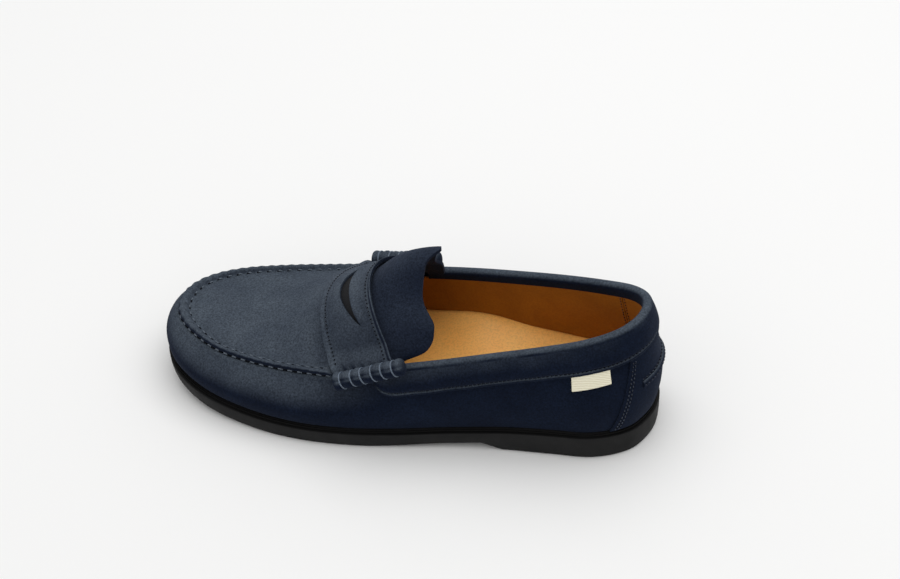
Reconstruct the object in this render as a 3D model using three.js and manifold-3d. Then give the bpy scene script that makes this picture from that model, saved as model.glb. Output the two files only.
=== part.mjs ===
// A left-foot penny loafer with rolled strap ends, built in layers as the real shoe is.
// Millimetres, +X towards the toe, +Y towards the outer (lateral) side, +Z up.
import * as THREE from "three";
import { mergeVertices } from "three/addons/utils/BufferGeometryUtils.js";
import Module from "manifold-3d";

const wasm = await Module();
wasm.setup();

// ---- Driving dimensions -------------------------------------------------------------------

// Stations round the shoe, from the heel along the lateral side to the toe and back along the
// medial side. Each holds the outsole's edge (x, y) and the top edge of the side wall (x, y, z):
// the topline behind the strap and the apron seam in front of it. Station i faces station 28 - i.
const STATIONS = [
  [6.5, 0, 11.5, -1, 83],
  [9, 13.5, 14.5, 10, 82.3],
  [18, 27.5, 24, 19.5, 79.6],
  [37, 36.8, 41, 26, 75],
  [62, 38.8, 64, 30, 69.7],
  [90, 40.5, 92, 33.5, 63.4],
  [118, 44, 118, 37, 57.8],
  [146, 49, 144, 39.5, 52],
  [175, 53, 171, 39.5, 43.3],
  [203, 53.6, 198, 37, 38.8],
  [231, 49.7, 226, 33.5, 37.2],
  [260, 40.8, 252, 27, 37],
  [281, 27, 272, 16, 38],
  [292.5, 10, 283, 5, 39],
  [296, -6, 286.5, -6.5, 39.5],
  [293.5, -21, 284, -19, 39.3],
  [284.5, -35.5, 274, -30, 39],
  [266, -47.5, 256, -39, 38.8],
  [238, -54.5, 231, -45, 39.3],
  [207, -55.5, 204, -48, 41],
  [178, -52, 175, -46.5, 46.5],
  [148, -44.5, 147, -42.5, 54.5],
  [118, -38, 119, -38, 61.5],
  [90, -35.5, 92, -34, 66.8],
  [62, -35.5, 64, -30, 71.5],
  [37, -34, 41, -25, 75.8],
  [18, -26.5, 24, -19, 79.8],
  [9, -14, 14.5, -11, 82.3],
];

// Heights along the shoe, as [x, z] pairs.
const FEATHER_HEIGHT = [
  [0, 17.4], [40, 17.2], [75, 16.4], [110, 14], [150, 12],
  [190, 11.4], [230, 12], [265, 14.4], [298, 18],
];
const TREAD_HEIGHT = [[99, 4.2], [130, 2.2], [165, 0], [215, 0], [255, 2], [298, 7.5]];
const HEEL_BREAST = [88, 99]; // the heel's front face runs from the ground here to the waist here
const RIDGE_HEIGHT = [
  [150, 92], [162, 83.5], [178, 73], [188, 66.5], [198.5, 57.5],
  [207, 52], [219, 47.5], [238, 44], [258, 42.8], [280, 42.6],
];

// The instep's middle line: its y along the shoe, and how far forward of the rim each row meets it.
const RIDGE_SIDE = [[120, -3], [167, -3.5], [207, -5.5], [258, -7], [280, -7]];
const SPINE_LEAN = [
  [118, 150], [145, 167], [182, 195.5], [207, 218],
  [238, 242], [255, 254], [268, 258], [290, 258],
];
const SPINE_END = 258; // the apron's rows round the toe all meet here

const SOLE_INSETS = [0.2, 0.9, 2.2]; // at the outsole's top edge, above its rounded foot and at its foot
const SOLE_FOOT_RADIUS = 1.4;
const FEATHER_INSET = 3.8; // from the outsole's edge to where the upper meets it
const GAP = 0.35; // between layers that are cemented or sewn on the real shoe

const SUEDE = 1.5;
const LINING = 1.0;
const STIFFENER = 1.1; // heel counter, toe puff and collar foam all fill this layer
const COLLAR = 1.0;
const LASTING_MARGIN = 12; // the wall's lower edge, folded in under the insole board
const BAND_DROP = [14.5, 16.5]; // the collar's height below the wall's top edge, at the side and heel
const BOARD = 2.0;
const FOOTBED = 3.0;
const SOCK = 1.2;

const TREAD_DEPTH = 2.6;
const TREAD_MARGIN = 7; // from the outsole's edge to the recess
const TREAD_CLEARANCE = 0.6; // round the insert in its recess
const FOREFOOT_TREAD = [150, 284]; // each recess from heel end to toe end
const HEEL_TREAD = [8, 74];
const FILLER = [152, 274];
const SHANK = { from: 38, to: 146, width: 13, thickness: 1.2, side: 1 };

const SECTORS = 84; // three to a station gap
const HALVINGS = 30; // steps of a search by halving
const WALL_LEVELS = [0, 0.14, 0.3, 0.5, 0.7, 0.86, 1];

// The wall's curve has two handles. This is how far out each stands, how high the low one is as a
// share of the wall's height, and how far the high one is below the rim: first as such a share at
// the side and heel, then in millimetres at the front.
const LOW_HANDLE = { side: 5.5, heel: 8.5, front: 7.5, rise: [0.3, 0.4] };
const HIGH_HANDLE = { side: 3.5, heel: 2, front: 8.5, drop: [0.35, 4.5] };
const FRONT_BLEND = [150, 215]; // along the shoe, where the side's shape turns into the front's
const HEEL_BLEND = [10, 60]; // and the heel's into the side's
const BAND_BLEND = [15, 90]; // and the collar's depth at the heel into that at the side

const BACK_SEAM = 0.06; // half the gap where the vamp's two ends meet behind the heel, in sectors

// Pieces round the wall, in sectors from the back seam.
const COUNTER_REACH = 9;
const PUFF_START = 36;
const FOAM_REACH = 19;
const HEEL_LINING_REACH = 7;
const THROAT = 20; // where the quarter linings meet the vamp lining
const LINING_SEAM = 0.04; // half the gap between two linings
const INNER_LOW = 0.15; // the share of the wall's height where the inner layers start
const LINING_TOP = 0.93; // where the lining meets the collar's inner leg

const STRAP = { rear: 21.1, front: 25, edge: 5, lift: 0.4 }; // rows, in sectors
const APRON_START = 21.45;
const ROLL = { rear: 20.35, front: 24.75, radius: 4.4, standoff: 1.6, end: 6 };
// How far each roll's rear and front ends sit further out and higher than the rim's corner.
const ROLL_SHIFT = {
  lateral: { out: [-0.6, 2.0], up: [4.6, -2.6] },
  medial: { out: [0, 0], up: [0, 0] },
};
const WHIP = { radius: 0.42, turns: 5, clearance: 0.3, stepsPerTurn: 10 };
const COLLAR_ENDS_AT = 19.9;
const COLLAR_CENTRE = 1.55; // the top arch's centre, this far inside the wall's outer face
const BACKSTAY = { top: 5.2, foot: 6.9, thickness: 1.0, rise: 0.25 }; // half widths in sectors
const HEEL_BAND = { reach: 4.4, height: 4.5, thickness: 1.3, at: 0.42, rise: 0.6 };
const BEAD = [[0.9, 0], [1.3, 2.6], [2.4, 3.4], [3.6, 2.8], [4.8, 0.6]]; // [from the rim, height]
const BEAD_START = [25.3, 26.2];
const APRON_SHARES = [0.32, 0.55, 0.78, 1];
const SLOT = { length: 48, width: 6, bow: 6.5, x: 180, y: -1, back: 5 };
const SEAM_THREAD = { radius: 0.45, from: 25, level: 2.2 };
const LABEL = { from: 28.5, to: 48.5, height: 7.6, thickness: 0.9, below: 0.8, rise: 0.5 };
const LABEL_WITHIN = 12; // sectors from the back seam that its two ends are looked for in

// The tongue's free edge, as [u, x, y, z] from the middle (u = 0) to the lateral edge (u = 1).
const TONGUE_END = [
  [0, 130, -3, 107.5],
  [0.2, 134.5, 6, 100.5],
  [0.43, 134, 15.5, 84],
  [0.64, 126, 25, 73.3],
  [0.78, 126.3, 28.8, 66],
  [0.88, 130, 31.5, 60.5],
  [1, 141, 33.6, 54.5],
];
const TONGUE_ROOT = 6.5; // the root's ends, this far up from the rim
const TONGUE_NARROWER = 0.92; // the medial lobe's reach from the middle, against the lateral one's
const TONGUE_MEDIAL = { forwards: 8, from: [0.3, 0.64], until: [0.8, 1] }; // that lobe also leans forwards
const TONGUE_BEHIND = 0.12; // from the strap's rear edge to the root, in sectors

// ---- Small helpers ------------------------------------------------------------------------

const V = (x, y, z) => new THREE.Vector3(x, y, z);
const clamp = (x, a, b) => Math.min(b, Math.max(a, x));
const mix = (a, b, t) => a + (b - a) * t;
const ease = (a, b, x) => {
  const t = clamp((x - a) / (b - a), 0, 1);
  return t * t * (3 - 2 * t);
};
const range = (a, b, step = 1) => {
  const n = Math.round((b - a) / step);
  return Array.from({ length: n + 1 }, (_, i) => a + (i * (b - a)) / n);
};

// The last value from a to b for which the test holds. It holds at a and fails at b.
function lastWhere(a, b, holds) {
  for (let i = 0; i < HALVINGS; i++) {
    const m = (a + b) / 2;
    if (holds(m)) a = m;
    else b = m;
  }
  return a;
}

// A smooth curve z(x) through [x, z] pairs. It is level at a pair where it turns or goes flat.
function curve(pairs) {
  const slope = pairs.map((p, i) => {
    const a = pairs[Math.max(0, i - 1)];
    const b = pairs[Math.min(pairs.length - 1, i + 1)];
    const turns = (p[1] - a[1]) * (b[1] - p[1]) <= 0 && i > 0 && i < pairs.length - 1;
    return turns ? 0 : (b[1] - a[1]) / (b[0] - a[0]);
  });
  return (x) => {
    if (x <= pairs[0][0]) return pairs[0][1];
    if (x >= pairs.at(-1)[0]) return pairs.at(-1)[1];
    let i = 0;
    while (x > pairs[i + 1][0]) i++;
    const w = pairs[i + 1][0] - pairs[i][0];
    const t = (x - pairs[i][0]) / w;
    const t2 = t * t;
    const t3 = t2 * t;
    return (
      (2 * t3 - 3 * t2 + 1) * pairs[i][1] +
      (t3 - 2 * t2 + t) * w * slope[i] +
      (3 * t2 - 2 * t3) * pairs[i + 1][1] +
      (t3 - t2) * w * slope[i + 1]
    );
  };
}

const featherHeight = curve(FEATHER_HEIGHT);
const forepartHeight = curve(TREAD_HEIGHT);
const ridgeHeight = curve(RIDGE_HEIGHT);
const ridgeSide = curve(RIDGE_SIDE);
const spineLean = curve(SPINE_LEAN);

function treadHeight(x) {
  if (x <= HEEL_BREAST[0]) return 0;
  if (x >= HEEL_BREAST[1]) return forepartHeight(x);
  return mix(0, forepartHeight(HEEL_BREAST[1]), (x - HEEL_BREAST[0]) / (HEEL_BREAST[1] - HEEL_BREAST[0]));
}

// ---- The shape of the shoe ----------------------------------------------------------------

const loop = (points) => new THREE.CatmullRomCurve3(points, true, "catmullrom", 0.5);
const soleCurve = loop(STATIONS.map((s) => V(s[0], s[1], 0)));
const rimCurve = loop(STATIONS.map((s) => V(s[2], s[3], s[4])));
const around = (k) => (((k / SECTORS) % 1) + 1) % 1;
const soleEdge = (k) => soleCurve.getPoint(around(k));
const rim = (k) => rimCurve.getPoint(around(k));

// The horizontal direction out of the outline at sector k.
function outward(k) {
  const step = 0.05;
  const along = soleEdge(k + step).sub(soleEdge(k - step));
  return V(-along.y, along.x, 0).normalize();
}

function outline(k, inset) {
  return soleEdge(k).addScaledVector(outward(k), -inset);
}

// The outer surface of the side wall: a cubic from the feather edge (t = 0) to the rim (t = 1).
function wallPoint(k, t) {
  const out = outward(k);
  const foot = outline(k, FEATHER_INSET);
  foot.z = featherHeight(foot.x);
  const top = rim(k);
  const height = top.z - foot.z;
  const front = ease(...FRONT_BLEND, top.x);
  const heel = 1 - ease(...HEEL_BLEND, top.x);
  const reach = (handle) => mix(mix(handle.side, handle.heel, heel), handle.front, front);
  const low = foot.clone().addScaledVector(out, reach(LOW_HANDLE));
  low.z += height * mix(...LOW_HANDLE.rise, front);
  const high = top.clone().addScaledVector(out, reach(HIGH_HANDLE));
  high.z -= mix(HIGH_HANDLE.drop[0] * height, HIGH_HANDLE.drop[1], front);
  return new THREE.CubicBezierCurve3(foot, low, high, top).getPoint(clamp(t, 0, 1));
}

// The middle line of the instep and apron that the rows from both sides run up to.
function spine(k) {
  const facing = (rim(k).x + rim(SECTORS - k).x) / 2;
  const x = Math.min(spineLean(facing), SPINE_END);
  return V(x, ridgeSide(x), ridgeHeight(x));
}

// The top of the foot, from the rim (w = 0) to the spine (w = 1).
function crownPoint(k, w) {
  const a = rim(k);
  const b = spine(k);
  const level = 1 - (1 - w) ** 2; // the row meets the spine squarely, so that no crease runs along it
  return V(mix(a.x, b.x, level), mix(a.y, b.y, w), mix(a.z, b.z, level));
}

// Unit normal of a surface of (k, t), pointing out of the shoe.
function normal(surface, k, t) {
  const e = 0.02;
  const [lo, hi] = [Math.max(0, t - e), Math.min(1, t + e)];
  const dk = surface(k + e, t).sub(surface(k - e, t));
  const dt = surface(k, hi).sub(surface(k, lo));
  return dt.cross(dk).normalize();
}

const wall = (k, t, lift = 0) => wallPoint(k, t).addScaledVector(normal(wallPoint, k, t), lift);

// On the spine the rows of both sides meet, so the normal there lies in its own plane.
function crown(k, w, lift = 0) {
  const n = normal(crownPoint, k, Math.min(w, 0.98));
  if (w > 0.97) {
    const x = spine(k).x;
    const e = 1;
    n.set(-(ridgeHeight(x + e) - ridgeHeight(x - e)), 0, 2 * e).normalize();
  }
  return crownPoint(k, w).addScaledVector(n, lift);
}

// The share of the way up the wall, or across the crown, that is this many millimetres from the rim.
const wallShare = (k, mm) => 1 - mm / wallPoint(k, 0).distanceTo(rim(k));
const crownShare = (k, mm) => mm / rim(k).distanceTo(spine(k));
const bandDrop = (k) => mix(BAND_DROP[0], BAND_DROP[1], 1 - ease(...BAND_BLEND, rim(k).x));

// ---- Solids from grids of points ----------------------------------------------------------

// A closed solid from triangles given as triples of points. Flat ones are dropped, and all are
// turned over together if they face inwards.
function closed(triangles) {
  const kept = triangles.filter(([a, b, c]) => {
    const area = b.clone().sub(a).cross(c.clone().sub(a)).length();
    return area > 1e-5;
  });
  const volume = kept.reduce((sum, [a, b, c]) => sum + a.dot(b.clone().cross(c)), 0);
  const flat = kept.flatMap(([a, b, c]) => (volume < 0 ? [a, c, b] : [a, b, c]));
  const geometry = new THREE.BufferGeometry();
  geometry.setFromPoints(flat);
  return mergeVertices(geometry, 1e-3);
}

function quads(rows, flip = false) {
  const found = [];
  for (let i = 0; i + 1 < rows.length; i++) {
    for (let j = 0; j + 1 < rows[i].length; j++) {
      const [a, b, c, d] = [rows[i][j], rows[i][j + 1], rows[i + 1][j + 1], rows[i + 1][j]];
      found.push(...(flip ? [[a, c, b], [a, d, c]] : [[a, b, c], [a, c, d]]));
    }
  }
  return found;
}

// A sheet with thickness: front and back are matching grids of points, and their edges are joined.
function sheet(front, back) {
  const edges = [
    [front.map((r) => r[0]), back.map((r) => r[0])],
    [back.map((r) => r.at(-1)), front.map((r) => r.at(-1))],
    [back[0], front[0]],
    [front.at(-1), back.at(-1)],
  ];
  return closed([...quads(front), ...quads(back, true), ...edges.flatMap((e) => quads(e))]);
}

// A sheet that follows a surface: at(k, j, lift) for each column k and row j.
function layer(columns, rows, at, lifts) {
  const grid = (lift) => columns.map((k) => rows.map((j) => at(k, j, lift)));
  return sheet(grid(lifts[0]), grid(lifts[1]));
}

function manifold(geometry) {
  const vertProperties = geometry.attributes.position.array;
  const triVerts = new Uint32Array(geometry.index.array);
  return new wasm.Manifold(new wasm.Mesh({ numProp: 3, vertProperties, triVerts }));
}

function fromManifold(solid) {
  const mesh = solid.getMesh();
  const geometry = new THREE.BufferGeometry();
  geometry.setAttribute("position", new THREE.BufferAttribute(Float32Array.from(mesh.vertProperties), 3));
  geometry.setIndex(new THREE.BufferAttribute(Uint32Array.from(mesh.triVerts), 1));
  return geometry;
}

const cut = (geometry, tool) => fromManifold(manifold(geometry).subtract(manifold(tool)));

// Leaves only the positions, with shared vertices merged.
function bare(geometry) {
  geometry.deleteAttribute("normal");
  geometry.deleteAttribute("uv");
  return mergeVertices(geometry, 1e-3);
}

// A round cord along points.
function cord(points, radius, sides, steps) {
  const section = new THREE.Shape(range(0, sides - 1).map((i) => {
    const a = (i * 2 * Math.PI) / sides;
    return new THREE.Vector2(radius * Math.cos(a), radius * Math.sin(a));
  }));
  const extrudePath = new THREE.CatmullRomCurve3(points);
  return bare(new THREE.ExtrudeGeometry(section, { steps, extrudePath, bevelEnabled: false }));
}

// ---- Materials ----------------------------------------------------------------------------

function material(color, roughness, metalness = 0) {
  return new THREE.MeshStandardMaterial({ color, roughness, metalness });
}
const looks = {
  suede: material(0x2a3340, 0.95),
  lining: material(0xb9762f, 0.6),
  rubber: material(0x2b2b2b, 0.8),
  thread: material(0x39434f, 0.7),
  label: material(0xe9e2c4, 0.9),
  board: material(0xb59a74, 0.9),
  cork: material(0xa97b4c, 0.95),
  foam: material(0xd9d3c4, 0.95),
  stiffener: material(0xc9c0ac, 0.85),
  steel: material(0x8d9196, 0.35, 1),
};

const shoe = new THREE.Group();
function add(name, geometry, look) {
  const mesh = new THREE.Mesh(geometry, looks[look]);
  mesh.name = name;
  shoe.add(mesh);
}

// ---- Bottom unit --------------------------------------------------------------------------

const HALF = SECTORS / 2;
const rungs = range(0, HALF);
const soleTop = (x) => featherHeight(x) - GAP;

// Rungs where the heel breast starts and ends, so that its edges are straight across.
const rungAt = (x) => lastWhere(0, HALF, (k) => soleEdge(k).x < x);

// The same rung on the medial side, found by its x.
function facing(k, inset) {
  const target = outline(k, inset).x;
  return lastWhere(HALF, SECTORS, (m) => outline(m, inset).x > target);
}

// A ladder of points across the sole: [lateral, medial] pairs at the same x.
function ladder(ks, inset) {
  return ks.map((k) => {
    if (k === 0 || k === HALF) return [outline(k, inset), outline(k, inset)];
    return [outline(k, inset), outline(facing(k, inset), inset)];
  });
}

// A solid between outlines stacked from top to foot: levels are [inset, height(x)] pairs.
function stack(ks, levels) {
  const put = (p, z) => V(p.x, p.y, z(p.x));
  const rings = levels.map(([inset, z]) => ladder(ks, inset).map((pair) => pair.map((p) => put(p, z))));
  const triangles = [...quads(rings[0]), ...quads(rings.at(-1), true)];
  for (let i = 0; i + 1 < rings.length; i++) {
    const [upper, lower] = [rings[i], rings[i + 1]];
    triangles.push(...quads([upper.map((p) => p[0]), lower.map((p) => p[0])]));
    triangles.push(...quads([lower.map((p) => p[1]), upper.map((p) => p[1])]));
    triangles.push(...quads([lower[0], upper[0]]));
    triangles.push(...quads([upper.at(-1), lower.at(-1)]));
  }
  return closed(triangles);
}

const between = ([x0, x1]) => range(rungAt(x0), rungAt(x1));

const breastRungs = HEEL_BREAST.map(rungAt);
const clearOfBreast = (k) => breastRungs.every((b) => Math.abs(k - b) > 0.4);
const soleRungs = [...rungs.filter(clearOfBreast), ...breastRungs].sort((a, b) => a - b);
const soleBlock = stack(soleRungs, [
  [SOLE_INSETS[0], soleTop],
  [SOLE_INSETS[1], (x) => treadHeight(x) + SOLE_FOOT_RADIUS],
  [SOLE_INSETS[2], treadHeight],
]);

// Each tread insert sits in a shallow recess in the foot of the outsole, level with its rim.
const recess = (ends) =>
  stack(between(ends), [
    [TREAD_MARGIN, (x) => treadHeight(x) + TREAD_DEPTH + GAP],
    [TREAD_MARGIN, (x) => treadHeight(x) - TREAD_DEPTH],
  ]);
const treadPad = ([from, to]) =>
  stack(between([from + 1, to - 1]), [
    [TREAD_MARGIN + TREAD_CLEARANCE, (x) => treadHeight(x) + TREAD_DEPTH],
    [TREAD_MARGIN + TREAD_CLEARANCE, treadHeight],
  ]);
add("outsole", cut(cut(soleBlock, recess(FOREFOOT_TREAD)), recess(HEEL_TREAD)), "rubber");
add("forefoot_tread", treadPad(FOREFOOT_TREAD), "rubber");
add("heel_tread", treadPad(HEEL_TREAD), "rubber");

const raised = (z) => (x) => featherHeight(x) + z;
const slab = (ks, low, thickness, lowInset, highInset = lowInset) =>
  stack(ks, [
    [highInset, raised(low + thickness)],
    [lowInset, raised(low)],
  ]);
const boardLow = SUEDE + 1.6 * GAP;
const bedLow = boardLow + BOARD + GAP;
const sockLow = bedLow + FOOTBED + GAP;
const boardInset = FEATHER_INSET + 1.2;
const innerInset = FEATHER_INSET + SUEDE + STIFFENER + LINING + 3 * GAP;
const fillerInset = FEATHER_INSET + LASTING_MARGIN + 1;
add("insole_board", slab(rungs, boardLow, BOARD, boardInset), "board");
add("footbed", slab(rungs, bedLow, FOOTBED, innerInset + 0.4, innerInset - 0.4), "foam");
add("sock", slab(rungs, sockLow, SOCK, innerInset - 0.8, innerInset - 1.1), "lining");
add("forepart_filler", slab(between(FILLER), 0, SUEDE, fillerInset), "cork");

// The steel shank bridges the waist between heel and ball.
function shank() {
  const xs = range(SHANK.from, SHANK.to, 9);
  const edge = (x, sign, lift) => V(x, (sign * SHANK.width) / 2 + SHANK.side, featherHeight(x) + lift);
  const grid = (lift) => xs.map((x) => [edge(x, 1, lift), edge(x, -1, lift)]);
  return sheet(grid(0.1 + SHANK.thickness), grid(0.1));
}
add("shank", shank(), "steel");

// ---- Upper --------------------------------------------------------------------------------

// One column of the wall with its lower edge folded in as the lasting margin.
function vampColumn(k, lift) {
  const foot = wallPoint(k, 0);
  const out = outward(k);
  const n = normal(wallPoint, k, 0);
  const fold = foot.clone().addScaledVector(out, lift * 0.9);
  fold.z -= lift;
  const edge = foot.clone().addScaledVector(out, -LASTING_MARGIN);
  edge.z = featherHeight(edge.x) - lift;
  return [edge, lift ? fold : foot, ...WALL_LEVELS.slice(1).map((t) => wall(k, t, lift))];
}
const fullTurn = [BACK_SEAM, ...range(1, SECTORS - 1), SECTORS - BACK_SEAM];
const vampGrid = (lift) => fullTurn.map((k) => vampColumn(k, lift));
add("vamp", sheet(vampGrid(0), vampGrid(-SUEDE)), "suede");

// Layers inside the wall, from the insole board up.
const middleLift = SUEDE + GAP;
const liningLift = middleLift + STIFFENER + GAP;
const middle = (columns, levels) => layer(columns, levels, wall, [-middleLift, -middleLift - STIFFENER]);
const counterLevels = [INNER_LOW, 0.3, 0.5, 0.7];
add("heel_counter", middle(range(-COUNTER_REACH, COUNTER_REACH), counterLevels), "stiffener");
add("toe_puff", middle(range(PUFF_START, SECTORS - PUFF_START), [...counterLevels, 0.86]), "stiffener");

// The collar's foam lies along the topline, above the heel counter.
add("collar_foam", middle(range(-FOAM_REACH, FOAM_REACH), [0.73, 0.86, 1]), "foam");

const vampLiningLevels = [INNER_LOW, 0.3, 0.5, 0.7, 0.86];
const liningLevels = [...vampLiningLevels, LINING_TOP];
const liningColumns = (a, b) => [a + LINING_SEAM, ...range(a + 1, b - 1), b - LINING_SEAM];
const liningLifts = [-liningLift, -liningLift - LINING];
const lining = (a, b, levels) => layer(liningColumns(a, b), levels, wall, liningLifts);
add("heel_lining", lining(-HEEL_LINING_REACH, HEEL_LINING_REACH, liningLevels), "lining");
add("quarter_lining_lateral", lining(HEEL_LINING_REACH, THROAT, liningLevels), "lining");
add("quarter_lining_medial", lining(SECTORS - THROAT, SECTORS - HEEL_LINING_REACH, liningLevels), "lining");
add("vamp_lining", lining(THROAT, SECTORS - THROAT, vampLiningLevels), "lining");

// The collar: a band over the outside of the topline, round over the top and down the inside.
const COLLAR_RADIUS = COLLAR_CENTRE + GAP + COLLAR;
function collarColumn(k, thickness) {
  const radius = COLLAR_RADIUS - thickness;
  const low = wallShare(k, bandDrop(k));
  const n = normal(wallPoint, k, 1);
  const up = wallPoint(k, 1).sub(wallPoint(k, 0.97)).normalize();
  const centre = rim(k).addScaledVector(n, -COLLAR_CENTRE);
  const outer = [low, mix(low, 1, 0.5), 1].map((t) => wall(k, t, radius - COLLAR_CENTRE));
  const arch = range(1, 4).map((i) => {
    const a = (i * Math.PI) / 5;
    return centre.clone().addScaledVector(n, radius * Math.cos(a)).addScaledVector(up, radius * Math.sin(a));
  });
  const leg = [1, LINING_TOP + 0.012].map((t) => wall(k, t, -COLLAR_CENTRE - radius));
  return [...outer, ...arch, ...leg];
}
const collarTurn = [-COLLAR_ENDS_AT, ...range(-FOAM_REACH, FOAM_REACH), COLLAR_ENDS_AT];
const collarGrid = (thickness) => collarTurn.map((k) => collarColumn(k, thickness));
add("collar", sheet(collarGrid(0), collarGrid(COLLAR)), "suede");

// The backstay covers the back seam. Its sides lean forwards towards the sole.
function backstayGrid(lift) {
  return range(-1, 1, 1 / 4).map((u) =>
    range(0, 1, 1 / 6).map((v) => {
      const k = u * mix(BACKSTAY.foot, BACKSTAY.top, v);
      const t = mix(0.02, wallShare(k, bandDrop(k) + 1), v);
      return wall(k, t, lift);
    }),
  );
}
const backstayLift = GAP + BACKSTAY.rise;
add("backstay", sheet(backstayGrid(backstayLift + BACKSTAY.thickness), backstayGrid(backstayLift)), "suede");

// A narrow sewn band across the backstay.
const HEEL_WALL = 62; // the wall's height behind the heel
function heelBandGrid(lift) {
  return range(-HEEL_BAND.reach, HEEL_BAND.reach, HEEL_BAND.reach / 4).map((k) =>
    [0, 1].map((v) => wall(k, HEEL_BAND.at + (v * HEEL_BAND.height) / HEEL_WALL, lift)),
  );
}
const bandLift = backstayLift + BACKSTAY.thickness + HEEL_BAND.rise;
add("heel_band", sheet(heelBandGrid(bandLift + HEEL_BAND.thickness), heelBandGrid(bandLift)), "suede");

// Apron: the top panel, with its edge turned up as a bead along the seam.
const APRON_COLUMNS = 44;
const apronSpan = SECTORS - 2 * APRON_START;
const apronColumns = range(0, apronSpan, apronSpan / APRON_COLUMNS).map((offset) => APRON_START + offset);
function apronGrid(outer) {
  return apronColumns.map((k) => {
    const bead = ease(...BEAD_START, Math.min(k, SECTORS - k));
    const edge = BEAD.map(([mm, rise]) => crown(k, crownShare(k, mm), outer ? rise * bead : -SUEDE));
    return [...edge, ...APRON_SHARES.map((w) => crown(k, w, outer ? 0 : -SUEDE))];
  });
}

// A sheet over both sides of the crown: the last point of each column is on the spine, where the
// two sides meet, so only the rim's edge and the rear edge are closed.
function crownSheet(front, back) {
  const edges = [
    [front.map((c) => c[0]), back.map((c) => c[0])],
    [back[0], front[0]],
    [front.at(-1), back.at(-1)],
  ];
  return closed([...quads(front), ...quads(back, true), ...edges.flatMap((e) => quads(e))]);
}
add("apron", crownSheet(apronGrid(true), apronGrid(false)), "suede");

const beadFoot = BEAD.at(-1)[0];
const liningShares = (k) => [crownShare(k, beadFoot), ...APRON_SHARES];
const apronLiningGrid = (lift) => apronColumns.map((k) => liningShares(k).map((w) => crown(k, w, lift)));
const underApron = SUEDE + GAP;
const apronLiningGrids = [-underApron, -underApron - LINING].map(apronLiningGrid);
add("apron_lining", crownSheet(...apronLiningGrids), "lining");

// The strap lies over the instep from roll to roll. Its slot is a lens cut through the middle.
function strapGrid(lift) {
  const across = (k) => [crownShare(k, STRAP.edge), 0.3, 0.5, 0.7, 0.86, 1].map((w) => crown(k, w, lift));
  return range(STRAP.rear, STRAP.front, 0.5).map((k) => {
    const lateral = across(k);
    const medial = across(SECTORS - k).reverse();
    return [...lateral, ...medial.slice(1)];
  });
}

// The slot's cutting tool: a lens with round long sides, bowed forwards.
function slotTool() {
  const [l, w, b] = [SLOT.length / 2, SLOT.width / 2, SLOT.bow];
  const shape = new THREE.Shape();
  shape.moveTo(-l, 0);
  shape.quadraticCurveTo(0, 2 * (w + b) * 0.9, l, 0);
  shape.quadraticCurveTo(0, 2 * (b - w) * 0.9, -l, 0);
  const depth = 60;
  const tool = bare(new THREE.ExtrudeGeometry(shape, { depth, bevelEnabled: false, curveSegments: 8 }));
  // Local x runs across the shoe, local y forwards down the instep, and local z out of the strap.
  const slope = (ridgeHeight(SLOT.x + 4) - ridgeHeight(SLOT.x - 4)) / 8;
  const forwards = V(1, 0, slope).normalize();
  const across = V(0, -1, 0);
  const out = across.clone().cross(forwards).normalize();
  const centre = V(SLOT.x, SLOT.y, ridgeHeight(SLOT.x));
  const place = new THREE.Matrix4().makeBasis(across, forwards, out);
  place.setPosition(centre.addScaledVector(out, -depth / 2).addScaledVector(forwards, -SLOT.back));
  return tool.applyMatrix4(place);
}
add("saddle_strap", cut(sheet(strapGrid(STRAP.lift + SUEDE), strapGrid(STRAP.lift)), slotTool()), "suede");

// Beefrolls: the strap's ends, rolled and whipped with thread along the topline's front corner.
function beefroll(side, shift) {
  const [rear, front] = [ROLL.rear, ROLL.front].map((k, i) => {
    const j = side > 0 ? k : SECTORS - k;
    const n = normal(wallPoint, j, 1).add(normal(crownPoint, j, 0.02)).normalize();
    const end = rim(j).addScaledVector(n, ROLL.radius + ROLL.standoff);
    return end.add(V(0, side * shift.out[i], shift.up[i]));
  });
  const axis = front.clone().sub(rear);
  const length = axis.length();
  const turn = new THREE.Quaternion().setFromUnitVectors(V(0, 1, 0), axis.clone().normalize());
  const r = ROLL.radius;
  const roundEnd = [[0, 0], [r * 0.7, 0.3], [r * 0.93, 1.6], [r, ROLL.end]];
  const otherEnd = roundEnd.map(([radius, y]) => [radius, length - y]).reverse();
  const profile = [...roundEnd, ...otherEnd].map(([radius, y]) => new THREE.Vector2(radius, y));
  const core = bare(new THREE.LatheGeometry(profile, 14));
  core.applyQuaternion(turn).translate(rear.x, rear.y, rear.z);
  const reach = r + WHIP.clearance + WHIP.radius;
  const steps = WHIP.turns * WHIP.stepsPerTurn;
  const helix = range(0, steps).map((i) => {
    const a = (i * 2 * Math.PI) / WHIP.stepsPerTurn;
    const y = mix(ROLL.end, length - ROLL.end, i / steps);
    return V(reach * Math.cos(a), y, reach * Math.sin(a)).applyQuaternion(turn).add(rear);
  });
  return { core, whip: cord(helix, WHIP.radius, 6, steps) };
}
for (const [name, side] of [["lateral", 1], ["medial", -1]]) {
  const roll = beefroll(side, ROLL_SHIFT[name]);
  add("beefroll_" + name, roll.core, "suede");
  add("beefroll_thread_" + name, roll.whip, "thread");
}

// The thick thread of the apron seam lies in the groove outside the bead.
const seamPath = range(SEAM_THREAD.from, SECTORS - SEAM_THREAD.from, 0.5).map((k) =>
  wall(k, wallShare(k, SEAM_THREAD.level), SEAM_THREAD.radius + GAP),
);
add("apron_seam_thread", cord(seamPath, SEAM_THREAD.radius, 6, 88), "thread");

// ---- Pieces that move ---------------------------------------------------------------------

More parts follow.
